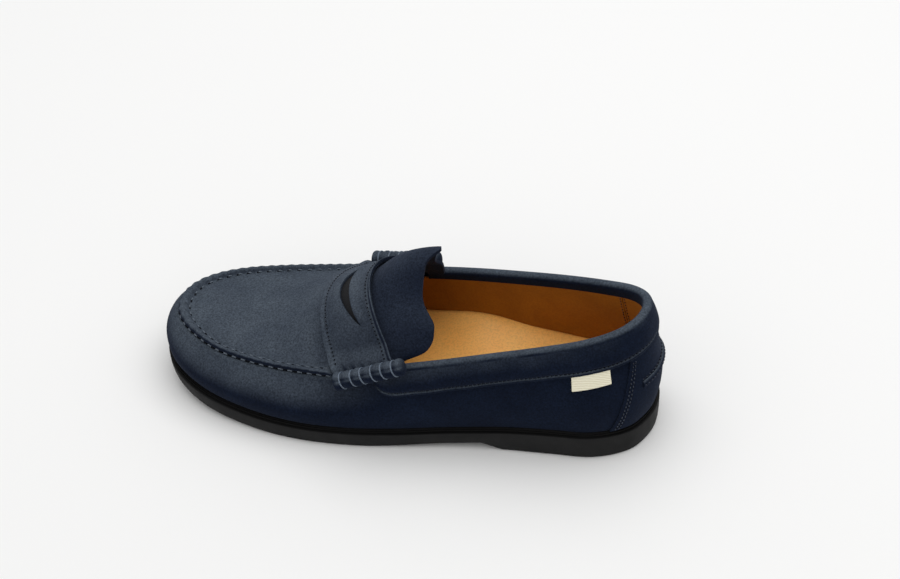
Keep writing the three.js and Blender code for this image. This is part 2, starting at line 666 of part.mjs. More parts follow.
// The tongue stands up behind the strap. u runs across it, from the lateral edge (1) over the
// ridge (0) to the medial edge (-1), and v from its root under the strap's rear edge to its end.
function medialEnd([u, x, y, z]) {
  const leaning = ease(...TONGUE_MEDIAL.from, u) * (1 - ease(...TONGUE_MEDIAL.until, u));
  const forwards = TONGUE_MEDIAL.forwards * leaning;
  const [, , middle] = TONGUE_END[0];
  return [-u, x + forwards, middle - TONGUE_NARROWER * (y - middle), z];
}
const bothSides = [...TONGUE_END.slice(1).reverse().map(medialEnd), ...TONGUE_END];
const tongueEnd = [1, 2, 3].map((axis) => curve(bothSides.map((p) => [p[0], p[axis]])));
function tonguePoint(u, v) {
  const side = Math.abs(u);
  const k = u >= 0 ? STRAP.rear - TONGUE_BEHIND : SECTORS - STRAP.rear + TONGUE_BEHIND;
  const root = crown(k, mix(1, crownShare(k, TONGUE_ROOT), side), 0);
  return root.lerp(V(...tongueEnd.map((axis) => axis(u))), v);
}
function tongueGrid(lift) {
  return range(-1, 1, 1 / 12).map((u) =>
    range(0, 1, 1 / 5).map((v) => {
      const e = 0.01;
      const du = tonguePoint(u + e, v).sub(tonguePoint(u - e, v));
      const dv = tonguePoint(u, v + e).sub(tonguePoint(u, v - e));
      return tonguePoint(u, v).addScaledVector(dv.cross(du).normalize(), lift);
    }),
  );
}
add("tongue", sheet(tongueGrid(0), tongueGrid(-SUEDE)), "suede");

// A folded woven label, sewn in under the collar on the lateral side and free at its lower edge.
const labelPoint = (k, down, lift) => wall(k, wallShare(k, bandDrop(k) + LABEL.below + down), lift);

// The sector whose point on the label's upper edge has this x.
const labelCorner = (x) => lastWhere(0, LABEL_WITHIN, (k) => labelPoint(k, 0, LABEL.rise).x < x);
function label() {
  const [start, end] = [LABEL.from, LABEL.to].map(labelCorner);
  const columns = range(start, end, (end - start) / 4);
  const rows = [0, LABEL.height / 2, LABEL.height];
  const grid = (lift) => columns.map((k) => rows.map((down) => labelPoint(k, down, lift)));
  return sheet(grid(LABEL.rise + LABEL.thickness), grid(LABEL.rise));
}
add("side_label", label(), "label");

// ---- Placing ------------------------------------------------------------------------------

// The origin is on the ground under the middle of the shoe's length and width.
const centre = new THREE.Box3().setFromObject(shoe).getCenter(new THREE.Vector3());
shoe.position.set(-centre.x, -centre.y, 0);

export default shoe;
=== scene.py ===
"""The finished look of the left penny loafer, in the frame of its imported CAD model."""
import math

import bmesh
import bpy
import numpy as np
from mathutils import Matrix, Vector


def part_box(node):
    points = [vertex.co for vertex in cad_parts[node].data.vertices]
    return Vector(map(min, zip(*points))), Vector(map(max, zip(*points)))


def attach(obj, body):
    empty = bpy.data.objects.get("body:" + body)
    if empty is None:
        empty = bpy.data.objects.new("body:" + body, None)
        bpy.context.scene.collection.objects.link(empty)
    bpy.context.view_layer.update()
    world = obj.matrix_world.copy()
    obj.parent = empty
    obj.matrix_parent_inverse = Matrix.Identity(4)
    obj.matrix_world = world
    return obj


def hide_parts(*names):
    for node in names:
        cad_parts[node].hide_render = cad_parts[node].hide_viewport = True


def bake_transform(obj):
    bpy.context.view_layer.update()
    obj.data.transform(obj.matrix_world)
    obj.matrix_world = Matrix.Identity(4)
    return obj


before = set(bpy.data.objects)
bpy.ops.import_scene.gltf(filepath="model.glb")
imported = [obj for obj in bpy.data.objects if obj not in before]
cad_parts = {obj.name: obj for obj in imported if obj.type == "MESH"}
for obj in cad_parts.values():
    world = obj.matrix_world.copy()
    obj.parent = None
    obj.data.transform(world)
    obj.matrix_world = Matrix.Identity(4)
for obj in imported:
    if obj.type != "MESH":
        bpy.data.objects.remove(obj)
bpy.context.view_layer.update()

# ---- Driving dimensions, in millimetres, x from the heel, as in the CAD part ----------------

# Outsole edge (x, y) and top edge of the side wall (x, y, z), round the shoe from the heel.
STATIONS = np.array([
    [6.5, 0, 11.5, -1, 83],
    [9, 13.5, 14.5, 10, 82.3],
    [18, 27.5, 24, 19.5, 79.6],
    [37, 36.8, 41, 26, 75],
    [62, 38.8, 64, 30, 69.7],
    [90, 40.5, 92, 33.5, 63.4],
    [118, 44, 118, 37, 57.8],
    [146, 49, 144, 39.5, 52],
    [175, 53, 171, 39.5, 43.3],
    [203, 53.6, 198, 37, 38.8],
    [231, 49.7, 226, 33.5, 37.2],
    [260, 40.8, 252, 27, 37],
    [281, 27, 272, 16, 38],
    [292.5, 10, 283, 5, 39],
    [296, -6, 286.5, -6.5, 39.5],
    [293.5, -21, 284, -19, 39.3],
    [284.5, -35.5, 274, -30, 39],
    [266, -47.5, 256, -39, 38.8],
    [238, -54.5, 231, -45, 39.3],
    [207, -55.5, 204, -48, 41],
    [178, -52, 175, -46.5, 46.5],
    [148, -44.5, 147, -42.5, 54.5],
    [118, -38, 119, -38, 61.5],
    [90, -35.5, 92, -34, 66.8],
    [62, -35.5, 64, -30, 71.5],
    [37, -34, 41, -25, 75.8],
    [18, -26.5, 24, -19, 79.8],
    [9, -14, 14.5, -11, 82.3],
])
FEATHER_HEIGHT = [(0, 17.4), (40, 17.2), (75, 16.4), (110, 14), (150, 12), (190, 11.4), (230, 12),
                  (265, 14.4), (298, 18)]
TREAD_HEIGHT = [(99, 4.2), (130, 2.2), (165, 0), (215, 0), (255, 2), (298, 7.5)]
HEEL_BREAST = (88, 99)
RIDGE_HEIGHT = [(150, 92), (162, 83.5), (178, 73), (188, 66.5), (198.5, 57.5), (207, 52), (219, 47.5),
                (238, 44), (258, 42.8), (280, 42.6)]
RIDGE_SIDE = [(120, -3), (167, -3.5), (207, -5.5), (258, -7), (280, -7)]
SPINE_LEAN = [(118, 150), (145, 167), (182, 195.5), (207, 218), (238, 242), (255, 254), (268, 258),
              (290, 258)]
SPINE_END = 258

SECTORS = 84
FEATHER_INSET = 3.8
GAP = 0.35
SUEDE = 1.5
LINING = 1.0
STIFFENER = 1.1
INNER_FACE = SUEDE + STIFFENER + LINING + 2 * GAP
SOCK_TOP = SUEDE + 2.0 + 3.0 + 1.2 + 3.6 * GAP
BAND_DROP = (14.5, 16.5)  # the collar's height below the rim, at the side and heel

# The two handles of the wall's curve: how far out each stands, and how high they are.
LOW_HANDLE = {"side": 5.5, "heel": 8.5, "front": 7.5, "rise": (0.3, 0.4)}
HIGH_HANDLE = {"side": 3.5, "heel": 2, "front": 8.5, "drop": (0.35, 4.5)}
FRONT_BLEND = (150, 215)  # along the shoe, where the side's shape turns into the front's
HEEL_BLEND = (10, 60)  # and the heel's into the side's
BAND_BLEND = (15, 90)  # and the collar's depth at the heel into that at the side

# Places round the shoe are in sectors from the back seam.
STRAP = (20.7, 25.0)  # rear and front edge
STRAP_EDGE = 1.0  # from the rim to the strap's two ends, which reach the rolls
SLOT = {"from": -0.56, "to": 0.62, "rear": 0.31, "open": 0.24, "bow": 0.14}  # shares of the strap
TONGUE_ROOT = 20.98
ROLL = {"rear": 20.35, "front": 24.75, "radius": 4.4, "standoff": 1.6}
# How far each roll's rear and front ends sit further out and higher than the rim's corner.
ROLL_SHIFT = {1: {"out": (-0.6, 2.0), "up": (4.6, -2.6)}, -1: {"out": (0, 0), "up": (0, 0)}}
WRAPS = {"count": 6, "first": 0.13, "last": 0.87}
BEAD_FROM = 25.0
SEAM_PITCH = 5.9
TONGUE_END = [(0, 130, -3, 107.5), (0.2, 134.5, 6, 100.5), (0.43, 134, 15.5, 84), (0.64, 126, 25, 73.3),
              (0.78, 126.3, 28.8, 66), (0.88, 130, 31.5, 60.5), (1, 141, 33.6, 54.5)]
TONGUE_NARROWER = 0.92  # the medial lobe's reach from the middle, against the lateral one's
TONGUE_MEDIAL = {"forwards": 8, "from": (0.3, 0.64), "until": (0.8, 1)}  # that lobe leans forwards
LABEL = {"from": 28.5, "to": 48.5, "height": 7.6, "below": 0.8}
LABEL_WITHIN = 12.0  # sectors that the label's two ends are looked for in

COLLAR_CENTRE = 1.55  # the top arch's centre, this far inside the wall's outer face
COLLAR_RADIUS = 2.9
COLLAR_ROWS = 33  # from the band's lower edge to the rim
COLLAR_FULL = 20.9  # the band goes right over the rim up to here
COLLAR_FRONT = 22.5  # and its outer face ends here
BACKSTAY_HALF = (7.6, 5.3)  # half its width at the foot and under the collar
BACKSTAY_FOOT = 0.012  # share of the wall's height where it starts
LINING_TOP = 0.945  # share of the wall's height where the lining goes under the collar

FOREFOOT_TREAD = (150, 284)
HEEL_TREAD = (9, 74)
TREAD_RIM = 8.0
TREAD_SINK = 1.1
TREAD_BAR = {"pitch": 3.4, "width": 2.2, "wave": 0.9, "wavelength": 9.0}
BREAK = 0.3  # length of a recess's end wall
SOLE_GROOVE_RINGS = 3  # the profile's first strips are the channel above the lip, coloured near black as painted shadow
HALVINGS = 40  # steps of a search by halving

# The camera: aim point and distance in millimetres, angles in degrees.
CAMERA = {"aim": (135.5, -43.1, 40), "azimuth": 196.92, "elevation": 41.68, "roll": -4.57,
          "distance": 1268, "lens": 88}


# ---- Curves and surfaces ---------------------------------------------------------------------

def mix(a, b, t):
    return a + (b - a) * t


def ease(a, b, x):
    t = np.clip((np.asarray(x, float) - a) / (b - a), 0, 1)
    return t * t * (3 - 2 * t)


def last_where(a, b, holds):
    """The last value from a to b for which the test holds. It holds at a and fails at b."""
    for _ in range(HALVINGS):
        m = (a + b) / 2
        held = holds(m)
        a, b = np.where(held, m, a), np.where(held, b, m)
    return a


def curve(pairs):
    """A smooth z(x) through the pairs, level where it turns or goes flat."""
    xs = np.array([p[0] for p in pairs], float)
    zs = np.array([p[1] for p in pairs], float)
    slope = np.zeros(len(xs))
    for i in range(len(xs)):
        a, b = max(0, i - 1), min(len(xs) - 1, i + 1)
        slope[i] = (zs[b] - zs[a]) / (xs[b] - xs[a])
        if 0 < i < len(xs) - 1 and (zs[i] - zs[a]) * (zs[b] - zs[i]) <= 0:
            slope[i] = 0

    def value(x):
        x = np.clip(np.asarray(x, float), xs[0], xs[-1])
        i = np.clip(np.searchsorted(xs, x, side="right") - 1, 0, len(xs) - 2)
        w = xs[i + 1] - xs[i]
        t = (x - xs[i]) / w
        return ((2 * t**3 - 3 * t**2 + 1) * zs[i] + (t**3 - 2 * t**2 + t) * w * slope[i]
                + (3 * t**2 - 2 * t**3) * zs[i + 1] + (t**3 - t**2) * w * slope[i + 1])

    return value


feather_height = curve(FEATHER_HEIGHT)
forepart_height = curve(TREAD_HEIGHT)
ridge_height = curve(RIDGE_HEIGHT)
ridge_side = curve(RIDGE_SIDE)
spine_lean = curve(SPINE_LEAN)


def tread_height(x):
    x = np.asarray(x, float)
    start, end = HEEL_BREAST
    breast = forepart_height(end) * np.clip((x - start) / (end - start), 0, 1)
    return np.where(x >= HEEL_BREAST[1], forepart_height(x), breast)


def closed_curve(points, k):
    """A closed Catmull-Rom curve through the points, at sector k."""
    n = len(points)
    s = np.asarray(k, float) * n / SECTORS
    whole = np.floor(s)
    i = whole.astype(int)
    u = (s - whole)[..., None]
    a, b, c, d = (points[(i + j) % n] for j in (-1, 0, 1, 2))
    return (b + u * 0.5 * (c - a) + u**2 * (a - 2.5 * b + 2 * c - 0.5 * d)
            + u**3 * 0.5 * (3 * b - a - 3 * c + d))


def vector(x, y, z):
    return np.stack(np.broadcast_arrays(x, y, z), -1).astype(float)


def unit(v):
    return v / np.maximum(np.linalg.norm(v, axis=-1, keepdims=True), 1e-9)


def sole_edge(k):
    p = closed_curve(STATIONS[:, :2], k)
    return vector(p[..., 0], p[..., 1], 0)


def rim(k):
    return closed_curve(STATIONS[:, 2:], k)


def outward(k):
    k = np.asarray(k, float)
    along = sole_edge(k + 0.05) - sole_edge(k - 0.05)
    return unit(vector(-along[..., 1], along[..., 0], 0))


def outline(k, inset):
    return sole_edge(k) - outward(k) * inset


def wall_point(k, t):
    """The outer surface of the side wall, from the feather edge (t = 0) to the rim (t = 1)."""
    k, t = np.broadcast_arrays(np.asarray(k, float), np.asarray(t, float))
    out = outward(k)
    foot = outline(k, FEATHER_INSET)
    foot[..., 2] = feather_height(foot[..., 0])
    top = rim(k)
    height = top[..., 2] - foot[..., 2]
    front = ease(*FRONT_BLEND, top[..., 0])
    heel = 1 - ease(*HEEL_BLEND, top[..., 0])
    low_reach, high_reach = (mix(mix(handle["side"], handle["heel"], heel), handle["front"], front)
                             for handle in (LOW_HANDLE, HIGH_HANDLE))
    low = foot + out * low_reach[..., None]
    low[..., 2] += height * mix(*LOW_HANDLE["rise"], front)
    high = top + out * high_reach[..., None]
    high[..., 2] -= mix(HIGH_HANDLE["drop"][0] * height, HIGH_HANDLE["drop"][1], front)
    t = t[..., None]
    return (1 - t)**3 * foot + 3 * (1 - t)**2 * t * low + 3 * (1 - t) * t**2 * high + t**3 * top


def spine(k):
    k = np.asarray(k, float)
    facing = (rim(k)[..., 0] + rim(SECTORS - k)[..., 0]) / 2
    x = np.minimum(spine_lean(facing), SPINE_END)
    return vector(x, ridge_side(x), ridge_height(x))


def crown_point(k, w):
    """The top of the foot, from the rim (w = 0) to the spine (w = 1)."""
    k, w = np.broadcast_arrays(np.asarray(k, float), np.asarray(w, float))
    a, b = rim(k), spine(k)
    level = 1 - (1 - w)**2
    return vector(mix(a[..., 0], b[..., 0], level), mix(a[..., 1], b[..., 1], w),
                  mix(a[..., 2], b[..., 2], level))


def normal(surface, k, t):
    """Unit normal of a surface, pointing out of the shoe."""
    k, t = np.broadcast_arrays(np.asarray(k, float), np.asarray(t, float))
    e = 0.02
    dk = surface(k + e, t) - surface(k - e, t)
    dt = surface(k, np.minimum(t + e, 1)) - surface(k, np.maximum(t - e, 0))
    return unit(np.cross(dt, dk))


def wall(k, t, lift=0.0):
    return wall_point(k, t) + normal(wall_point, k, t) * np.asarray(lift, float)[..., None]


def crown(k, w, lift=0.0):
    k, w = np.broadcast_arrays(np.asarray(k, float), np.asarray(w, float))
    n = normal(crown_point, k, np.minimum(w, 0.98))
    x = spine(k)[..., 0]
    ridge = unit(vector(-(ridge_height(x + 1) - ridge_height(x - 1)), 0, 2))
    near = ease(0.9, 0.99, w)[..., None]
    return crown_point(k, w) + unit(mix(n, ridge, near)) * np.asarray(lift, float)[..., None]


def wall_share(k, mm):
    return 1 - mm / np.linalg.norm(wall_point(k, 0) - rim(k), axis=-1)


def crown_share(k, mm):
    return mm / np.linalg.norm(rim(k) - spine(k), axis=-1)


def band_drop(k):
    return mix(BAND_DROP[0], BAND_DROP[1], 1 - ease(*BAND_BLEND, rim(k)[..., 0]))


def ripple(p, size, seed):
    """A soft, repeatable unevenness of about -1 to 1 whose lumps are about size millimetres apart."""
    rng = np.random.RandomState(seed)
    total = np.zeros(p.shape[:-1])
    for _ in range(7):
        direction = unit(rng.normal(size=3)) * (2 * math.pi / size) * rng.uniform(0.6, 1.7)
        total += np.sin(p @ direction + rng.uniform(0, 6.28))
    return total / 3.2


def frange(a, b, count):
    return np.linspace(a, b, count)


# ---- Placing and meshes ----------------------------------------------------------------------

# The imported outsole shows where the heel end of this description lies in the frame.
_edge = outline(np.arange(SECTORS), 0.2)
_low, _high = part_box("outsole")
SHIFT = np.array([
    _low.x * 1000 - _edge[:, 0].min(),
    (_low.y + _high.y) * 500 - (_edge[:, 1].min() + _edge[:, 1].max()) / 2,
    0,
])


def placed(p):
    return (np.asarray(p, float) + SHIFT) / 1000


def mesh_object(name, points, faces, material, body="shoe", replaces=()):
    """An object from points in millimetres and faces, with doubled points merged."""
    mesh = bpy.data.meshes.new(name)
    mesh.from_pydata(placed(points).tolist(), [], faces)
    made = bmesh.new()
    made.from_mesh(mesh)
    bmesh.ops.remove_doubles(made, verts=made.verts, dist=2e-6)
    loose = [v for v in made.verts if not v.link_faces]
    bmesh.ops.delete(made, geom=loose, context="VERTS")
    made.to_mesh(mesh)
    made.free()
    obj = bpy.data.objects.new(name, mesh)
    bpy.context.scene.collection.objects.link(obj)
    mesh.materials.append(material)
    for polygon in mesh.polygons:
        polygon.use_smooth = True
    if replaces:
        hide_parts(*replaces)
    if body:
        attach(obj, body)
    return obj


def grid_faces(rows, columns, start):
    """Faces of an open grid whose first point has the number start."""
    faces = []
    for i in range(rows - 1):
        for j in range(columns - 1):
            a = start + i * columns + j
            faces.append((a, a + 1, a + columns + 1, a + columns))
    return faces


def ring_faces(count, sides, turned=False):
    """Faces between closed rings of points."""
    faces = []
    for i in range(count - 1):
        for j in range(sides):
            n = (j + 1) % sides
            a, b, c, d = i * sides + j, (i + 1) * sides + j, (i + 1) * sides + n, i * sides + n
            faces.append((a, d, c, b) if turned else (a, b, c, d))
    return faces


def shell(name, grids, material, thickness, bevel=0.4, body="shoe", replaces=()):
    """A piece of hide: outer faces from grids of points, thickened inwards, with soft edges."""
    points, faces = [], []
    for grid in grids if isinstance(grids, list) else [grids]:
        faces += grid_faces(*grid.shape[:2], len(points))
        points += grid.reshape(-1, 3).tolist()
    obj = mesh_object(name, np.array(points), faces, material, body, replaces)
    thick = obj.modifiers.new("thickness", "SOLIDIFY")
    thick.thickness = thickness / 1000
    thick.offset = -1
    if bevel:
        soft = obj.modifiers.new("soft_edges", "BEVEL")
        soft.width = bevel / 1000
        soft.segments = 2
        soft.limit_method = "ANGLE"
        soft.angle_limit = math.radians(50)
    return obj


def tube(points, radius, sides=8):
    """Points and faces of a round cord along points, closed at both ends."""
    points = np.asarray(points, float)
    along = unit(np.gradient(points, axis=0))
    side = np.cross(along, [0.13, 0.21, 0.97])
    side = unit(side)
    up = np.cross(side, along)
    angle = np.arange(sides) * 2 * math.pi / sides
    radius = np.broadcast_to(radius, len(points))
    ring = (side[:, None] * np.cos(angle)[None, :, None] + up[:, None] * np.sin(angle)[None, :, None])
    body = points[:, None] + ring * radius[:, None, None]
    faces = ring_faces(len(points), sides)
    faces.append(tuple(range(sides)))
    last = (len(points) - 1) * sides
    faces.append(tuple(last + j for j in reversed(range(sides))))
    return body.reshape(-1, 3), faces


def joined(parts):
    points, faces, start = [], [], 0
    for p, f in parts:
        points.append(p)
        faces += [tuple(i + start for i in face) for face in f]
        start += len(p)
    return np.concatenate(points), faces


def along_path(path, normals, at):
    """Points and normals at distances along a polyline."""
    steps = np.linalg.norm(np.diff(path, axis=0), axis=1)
    length = np.concatenate([[0], np.cumsum(steps)])
    where = np.stack([np.interp(at, length, path[:, i]) for i in range(3)], -1)
    facing = np.stack([np.interp(at, length, normals[:, i]) for i in range(3)], -1)
    return where, unit(facing)


def path_length(path):
    return np.linalg.norm(np.diff(path, axis=0), axis=1).sum()


def stitch_row(path, normals, pitch, share, radius, rise):
    """Short thread arcs along a path, whose ends go down into the hide."""
    total = path_length(path)
    count = max(1, int(total / pitch))
    arc = frange(-0.5, 0.5, 7)
    parts = []
    for i in range(count):
        at = (i + 0.5) * total / count + arc * share * pitch
        where, facing = along_path(path, normals, at)
        lift = rise * (1 - (2 * arc)**4) - radius * 1.6 * (2 * abs(arc))**4
        parts.append(tube(where + facing * lift[:, None], radius * (1 - 0.35 * (2 * abs(arc))**3), 6))
    return joined(parts)


def stitches(name, path, normals, pitch, share, radius, rise=0.14):
    """A row of thread, with near-black marks between its stitches that are painted shade for the needle
    holes.
    """
    points, faces = stitch_row(path, normals, pitch, share, radius, rise)
    mesh_object(name, points, faces, thread)
    shifted = along_path(path, normals, np.linspace(0, path_length(path), len(path)) + pitch / 2)
    # Near-black marks between the stitches: painted shade for the needle holes.
    points, faces = stitch_row(shifted[0][:-2], shifted[1][:-2], pitch, 1 - share, radius * 1.45, 0.05)
    mesh_object(name + "_needle_marks", points, faces, needle_hole_painted_shade)


# ---- Materials -------------------------------------------------------------------------------

class Look:
    """A small helper that builds one node material in the object's own coordinates."""

    def __init__(self, name, roughness, specular):
        self.material = bpy.data.materials.new(name)
        self.material.use_nodes = True
        self.nodes = self.material.node_tree.nodes
        self.links = self.material.node_tree.links
        self.shader = self.nodes["Principled BSDF"]
        self.shader.inputs["Roughness"].default_value = roughness
        self.shader.inputs["Specular IOR Level"].default_value = specular
        self.place = self.nodes.new("ShaderNodeTexCoord").outputs["Object"]
        self.height = None

    def noise(self, scale, detail=3.0, roughness=0.55, distortion=0.0):
        node = self.nodes.new("ShaderNodeTexNoise")
        values = {"Scale": scale, "Detail": detail, "Roughness": roughness, "Distortion": distortion}
        for socket, value in values.items():
            node.inputs[socket].default_value = value
        self.links.new(self.place, node.inputs["Vector"])
        return node.outputs["Fac"]

    def facing_up(self, low, high):
        """0 to 1 as the surface turns from upright to level, in the object's own frame."""
        normal = self.nodes.new("ShaderNodeTexCoord").outputs["Normal"]
        split = self.nodes.new("ShaderNodeSeparateXYZ")
        self.links.new(normal, split.inputs["Vector"])
        node = self.nodes.new("ShaderNodeMapRange")
        node.interpolation_type = "SMOOTHSTEP"
        node.inputs["From Min"].default_value = low
        node.inputs["From Max"].default_value = high
        self.links.new(split.outputs["Z"], node.inputs["Value"])
        return node.outputs["Result"]

    def cells(self, scale):
        node = self.nodes.new("ShaderNodeTexVoronoi")
        node.inputs["Scale"].default_value = scale
        self.links.new(self.place, node.inputs["Vector"])
        return node.outputs["Distance"]

    def ramp(self, value, low, high, colours):
        node = self.nodes.new("ShaderNodeValToRGB")
        for element, position, colour in zip(node.color_ramp.elements, (low, high), colours):
            element.position = position
            element.color = (*colour, 1)
        self.links.new(value, node.inputs["Fac"])
        return node.outputs["Color"]

    def blend(self, factor, a, b, mode="MIX"):
        node = self.nodes.new("ShaderNodeMix")
        node.data_type = "RGBA"
        node.blend_type = mode
        for socket, value in ((node.inputs["Factor"], factor), (node.inputs[6], a), (node.inputs[7], b)):
            if isinstance(value, (int, float)):
                socket.default_value = value
            elif isinstance(value, tuple):
                socket.default_value = (*value, 1)
            else:
                self.links.new(value, socket)
        return node.outputs[2]

    def colour(self, value):
        if isinstance(value, tuple):
            self.shader.inputs["Base Color"].default_value = (*value, 1)
        else:
            self.links.new(value, self.shader.inputs["Base Color"])
        return self

    def roughness(self, value, low, high):
        node = self.nodes.new("ShaderNodeMapRange")
        node.inputs["To Min"].default_value = low
        node.inputs["To Max"].default_value = high
        self.links.new(value, node.inputs["Value"])
        self.links.new(node.outputs["Result"], self.shader.inputs["Roughness"])
        return self

    def bump(self, value, strength, distance_mm):
        node = self.nodes.new("ShaderNodeBump")
        node.inputs["Strength"].default_value = strength
        node.inputs["Distance"].default_value = distance_mm / 1000
        self.links.new(value, node.inputs["Height"])
        if self.height is not None:
            self.links.new(self.height, node.inputs["Normal"])
        self.height = node.outputs["Normal"]
        self.links.new(self.height, self.shader.inputs["Normal"])
        return self

    def sheen(self, weight, roughness, tint):
        self.shader.inputs["Sheen Weight"].default_value = weight
        self.shader.inputs["Sheen Roughness"].default_value = roughness
        self.shader.inputs["Sheen Tint"].default_value = (*tint, 1)
        return self


def make_suede(name, upright, level):
    """Short-napped suede: brushed patches, a speckle of fibres, and painted light: paler on faces turned up,
    darker on upright faces.
    """
    look = Look(name, 0.95, 0.06)
    # Painted light and shade: the colour goes from the dark upright colour to the pale level one as the face
    # turns up.
    painted_light_tone = look.blend(look.facing_up(0.26, 0.96), upright, level)
    patches = look.ramp(look.noise(38, 4, 0.6, 0.6), 0.3, 0.72, ((0.78, 0.79, 0.82), (1.2, 1.19, 1.16)))
    speckle = look.ramp(look.noise(950, 3, 0.75), 0.34, 0.68, ((0.6, 0.6, 0.6), (1.5, 1.5, 1.5)))
    look.colour(look.blend(1.0, look.blend(1.0, painted_light_tone, patches, "MULTIPLY"), speckle, "MULTIPLY"))
    look.bump(look.noise(950, 3, 0.75), 0.6, 0.35)
    look.bump(look.noise(260, 3, 0.6), 0.25, 0.5)
    look.sheen(0.05, 0.5, (0.6, 0.72, 1.0))
    return look.material


def make_hide(name, dark, light, roughness):
    """Smooth vegetable-tanned hide with faint grain and cloudy colour."""
    look = Look(name, roughness, 0.35)
    clouds = look.ramp(look.noise(26, 4, 0.6, 0.3), 0.3, 0.72, (dark, light))
    pores = look.ramp(look.noise(900, 2, 0.6), 0.35, 0.6, ((0.88, 0.88, 0.88), (1.05, 1.05, 1.05)))
    look.colour(look.blend(1.0, clouds, pores, "MULTIPLY"))
    look.roughness(look.noise(60, 3), roughness - 0.1, roughness + 0.12)
    look.bump(look.cells(650), 0.12, 0.15)
    look.bump(look.noise(120, 4, 0.6), 0.18, 0.5)
    return look.material


def make_rubber():
    look = Look("black_rubber", 0.75, 0.14)
    dust = look.ramp(look.noise(45, 5, 0.65), 0.35, 0.75, ((0.009, 0.009, 0.0093), (0.015, 0.015, 0.0153)))
    look.colour(dust)
    look.roughness(look.noise(150, 3), 0.5, 0.75)
    look.bump(look.noise(1300, 2, 0.6), 0.25, 0.12)
    return look.material


def make_thread(name, dark, light):
    """Twisted waxed thread."""
    look = Look(name, 0.5, 0.4)
    look.colour(look.ramp(look.noise(1800, 1), 0.35, 0.65, (dark, light)))
    look.bump(look.noise(2400, 1), 0.6, 0.1)
    look.sheen(0.2, 0.4, (0.7, 0.8, 1.0))
    return look.material


def make_label():
    """Cream tape whose ribs run along it."""
    look = Look("woven_tape", 0.85, 0.2)
    wave = look.nodes.new("ShaderNodeTexWave")
    wave.bands_direction = "Z"
    wave.inputs["Scale"].default_value = 320
    wave.inputs["Distortion"].default_value = 0.4
    look.links.new(look.place, wave.inputs["Vector"])
    ribs = look.ramp(wave.outputs["Fac"], 0.2, 0.8, ((0.8, 0.74, 0.54), (1.0, 0.96, 0.78)))
    look.colour(ribs)
    look.bump(wave.outputs["Fac"], 0.7, 0.3)
    look.bump(look.noise(2200, 1), 0.3, 0.1)
    return look.material


# The two suede colours are painted light and shade: dark for upright faces, pale for faces turned up.
suede = make_suede("navy_suede", (0.0042, 0.0075, 0.018), (0.053, 0.066, 0.085))
# A darker copy of the navy suede for the tongue: its extra darkness is painted shade.
tongue_suede_painted_shade = make_suede("navy_suede_painted_shade", (0.007, 0.0105, 0.022), (0.021, 0.028, 0.044))
lining = make_hide("tan_lining", (0.24, 0.075, 0.002), (0.355, 0.12, 0.005), 0.55)
sock_hide = make_hide("tan_sock", (0.97, 0.45, 0.1), (1.0, 0.56, 0.15), 0.45)
rubber = make_rubber()
# Near-black colour for the channel above the sole's lip: painted shadow under the upper's overhang.
rubber_channel_shadow = Look("rubber_channel_painted_shadow", 0.5, 0.15).colour((0.002, 0.002, 0.002)).material
thread = make_thread("navy_thread", (0.012, 0.017, 0.03), (0.036, 0.047, 0.07))
seam_thread = make_thread("seam_thread", (0.06, 0.078, 0.105), (0.12, 0.145, 0.18))
whip_thread = make_thread("whipping_thread", (0.065, 0.088, 0.125), (0.13, 0.165, 0.215))
tape = make_label()
# Near-black hide for the sheet under the strap's slot: painted shade.
slot_shade_hide = make_hide("slot_painted_shade_hide", (0.0022, 0.0026, 0.004), (0.0045, 0.0052, 0.0075), 0.85)
# Near-black colour for the marks between stitches: painted shade for the needle holes.
needle_hole_painted_shade = Look("needle_hole_painted_shade", 0.9, 0.1).colour((0.004, 0.005, 0.008)).material


# ---- Sole unit -------------------------------------------------------------------------------

HALF = SECTORS / 2


def facing(k, inset):
    """The sector on the medial side whose outline has the same x as sector k."""
    k = np.asarray(k, float)
    target = outline(k, inset)[..., 0]
    start, end = np.full_like(k, HALF), np.full_like(k, SECTORS)
    return last_where(start, end, lambda m: outline(m, inset)[..., 0] > target)


def sector_at(x, inset=0.0):
    """The sector on the lateral side whose outline has this x."""
    return float(last_where(0.0, HALF, lambda m: outline(m, inset)[..., 0] < x))


def ladder(ks, inset):
    """Lateral and medial edge points at the same x, for every rung."""
    lateral = outline(ks, inset)
    medial = outline(facing(ks, inset), inset)
    for end in (0, -1):
        if ks[end] in (0, HALF):
            medial[end] = lateral[end]
    return lateral, medial


def sole_rungs():
    """Sectors of the sole's rungs, with one exactly at each step in its underside."""
    fine = frange(0, HALF, 169).tolist()
    steps = [*HEEL_BREAST]
    for rear, front in (HEEL_TREAD, FOREFOOT_TREAD):
        steps += [rear, front, rear - BREAK, front + BREAK]
    exact = [sector_at(x, TREAD_RIM) if x not in HEEL_BREAST else sector_at(x) for x in steps]
    kept = [k for k in fine if all(abs(k - e) > 0.06 for e in exact)]
    return np.array(sorted(kept + exact))


def tread_floor(x):
    """How far the floor between the tread bars is sunk, at x."""
    in_heel = (x >= HEEL_TREAD[0]) & (x <= HEEL_TREAD[1])
    in_forefoot = (x >= FOREFOOT_TREAD[0]) & (x <= FOREFOOT_TREAD[1])
    return np.where(in_heel | in_forefoot, TREAD_SINK, 0)


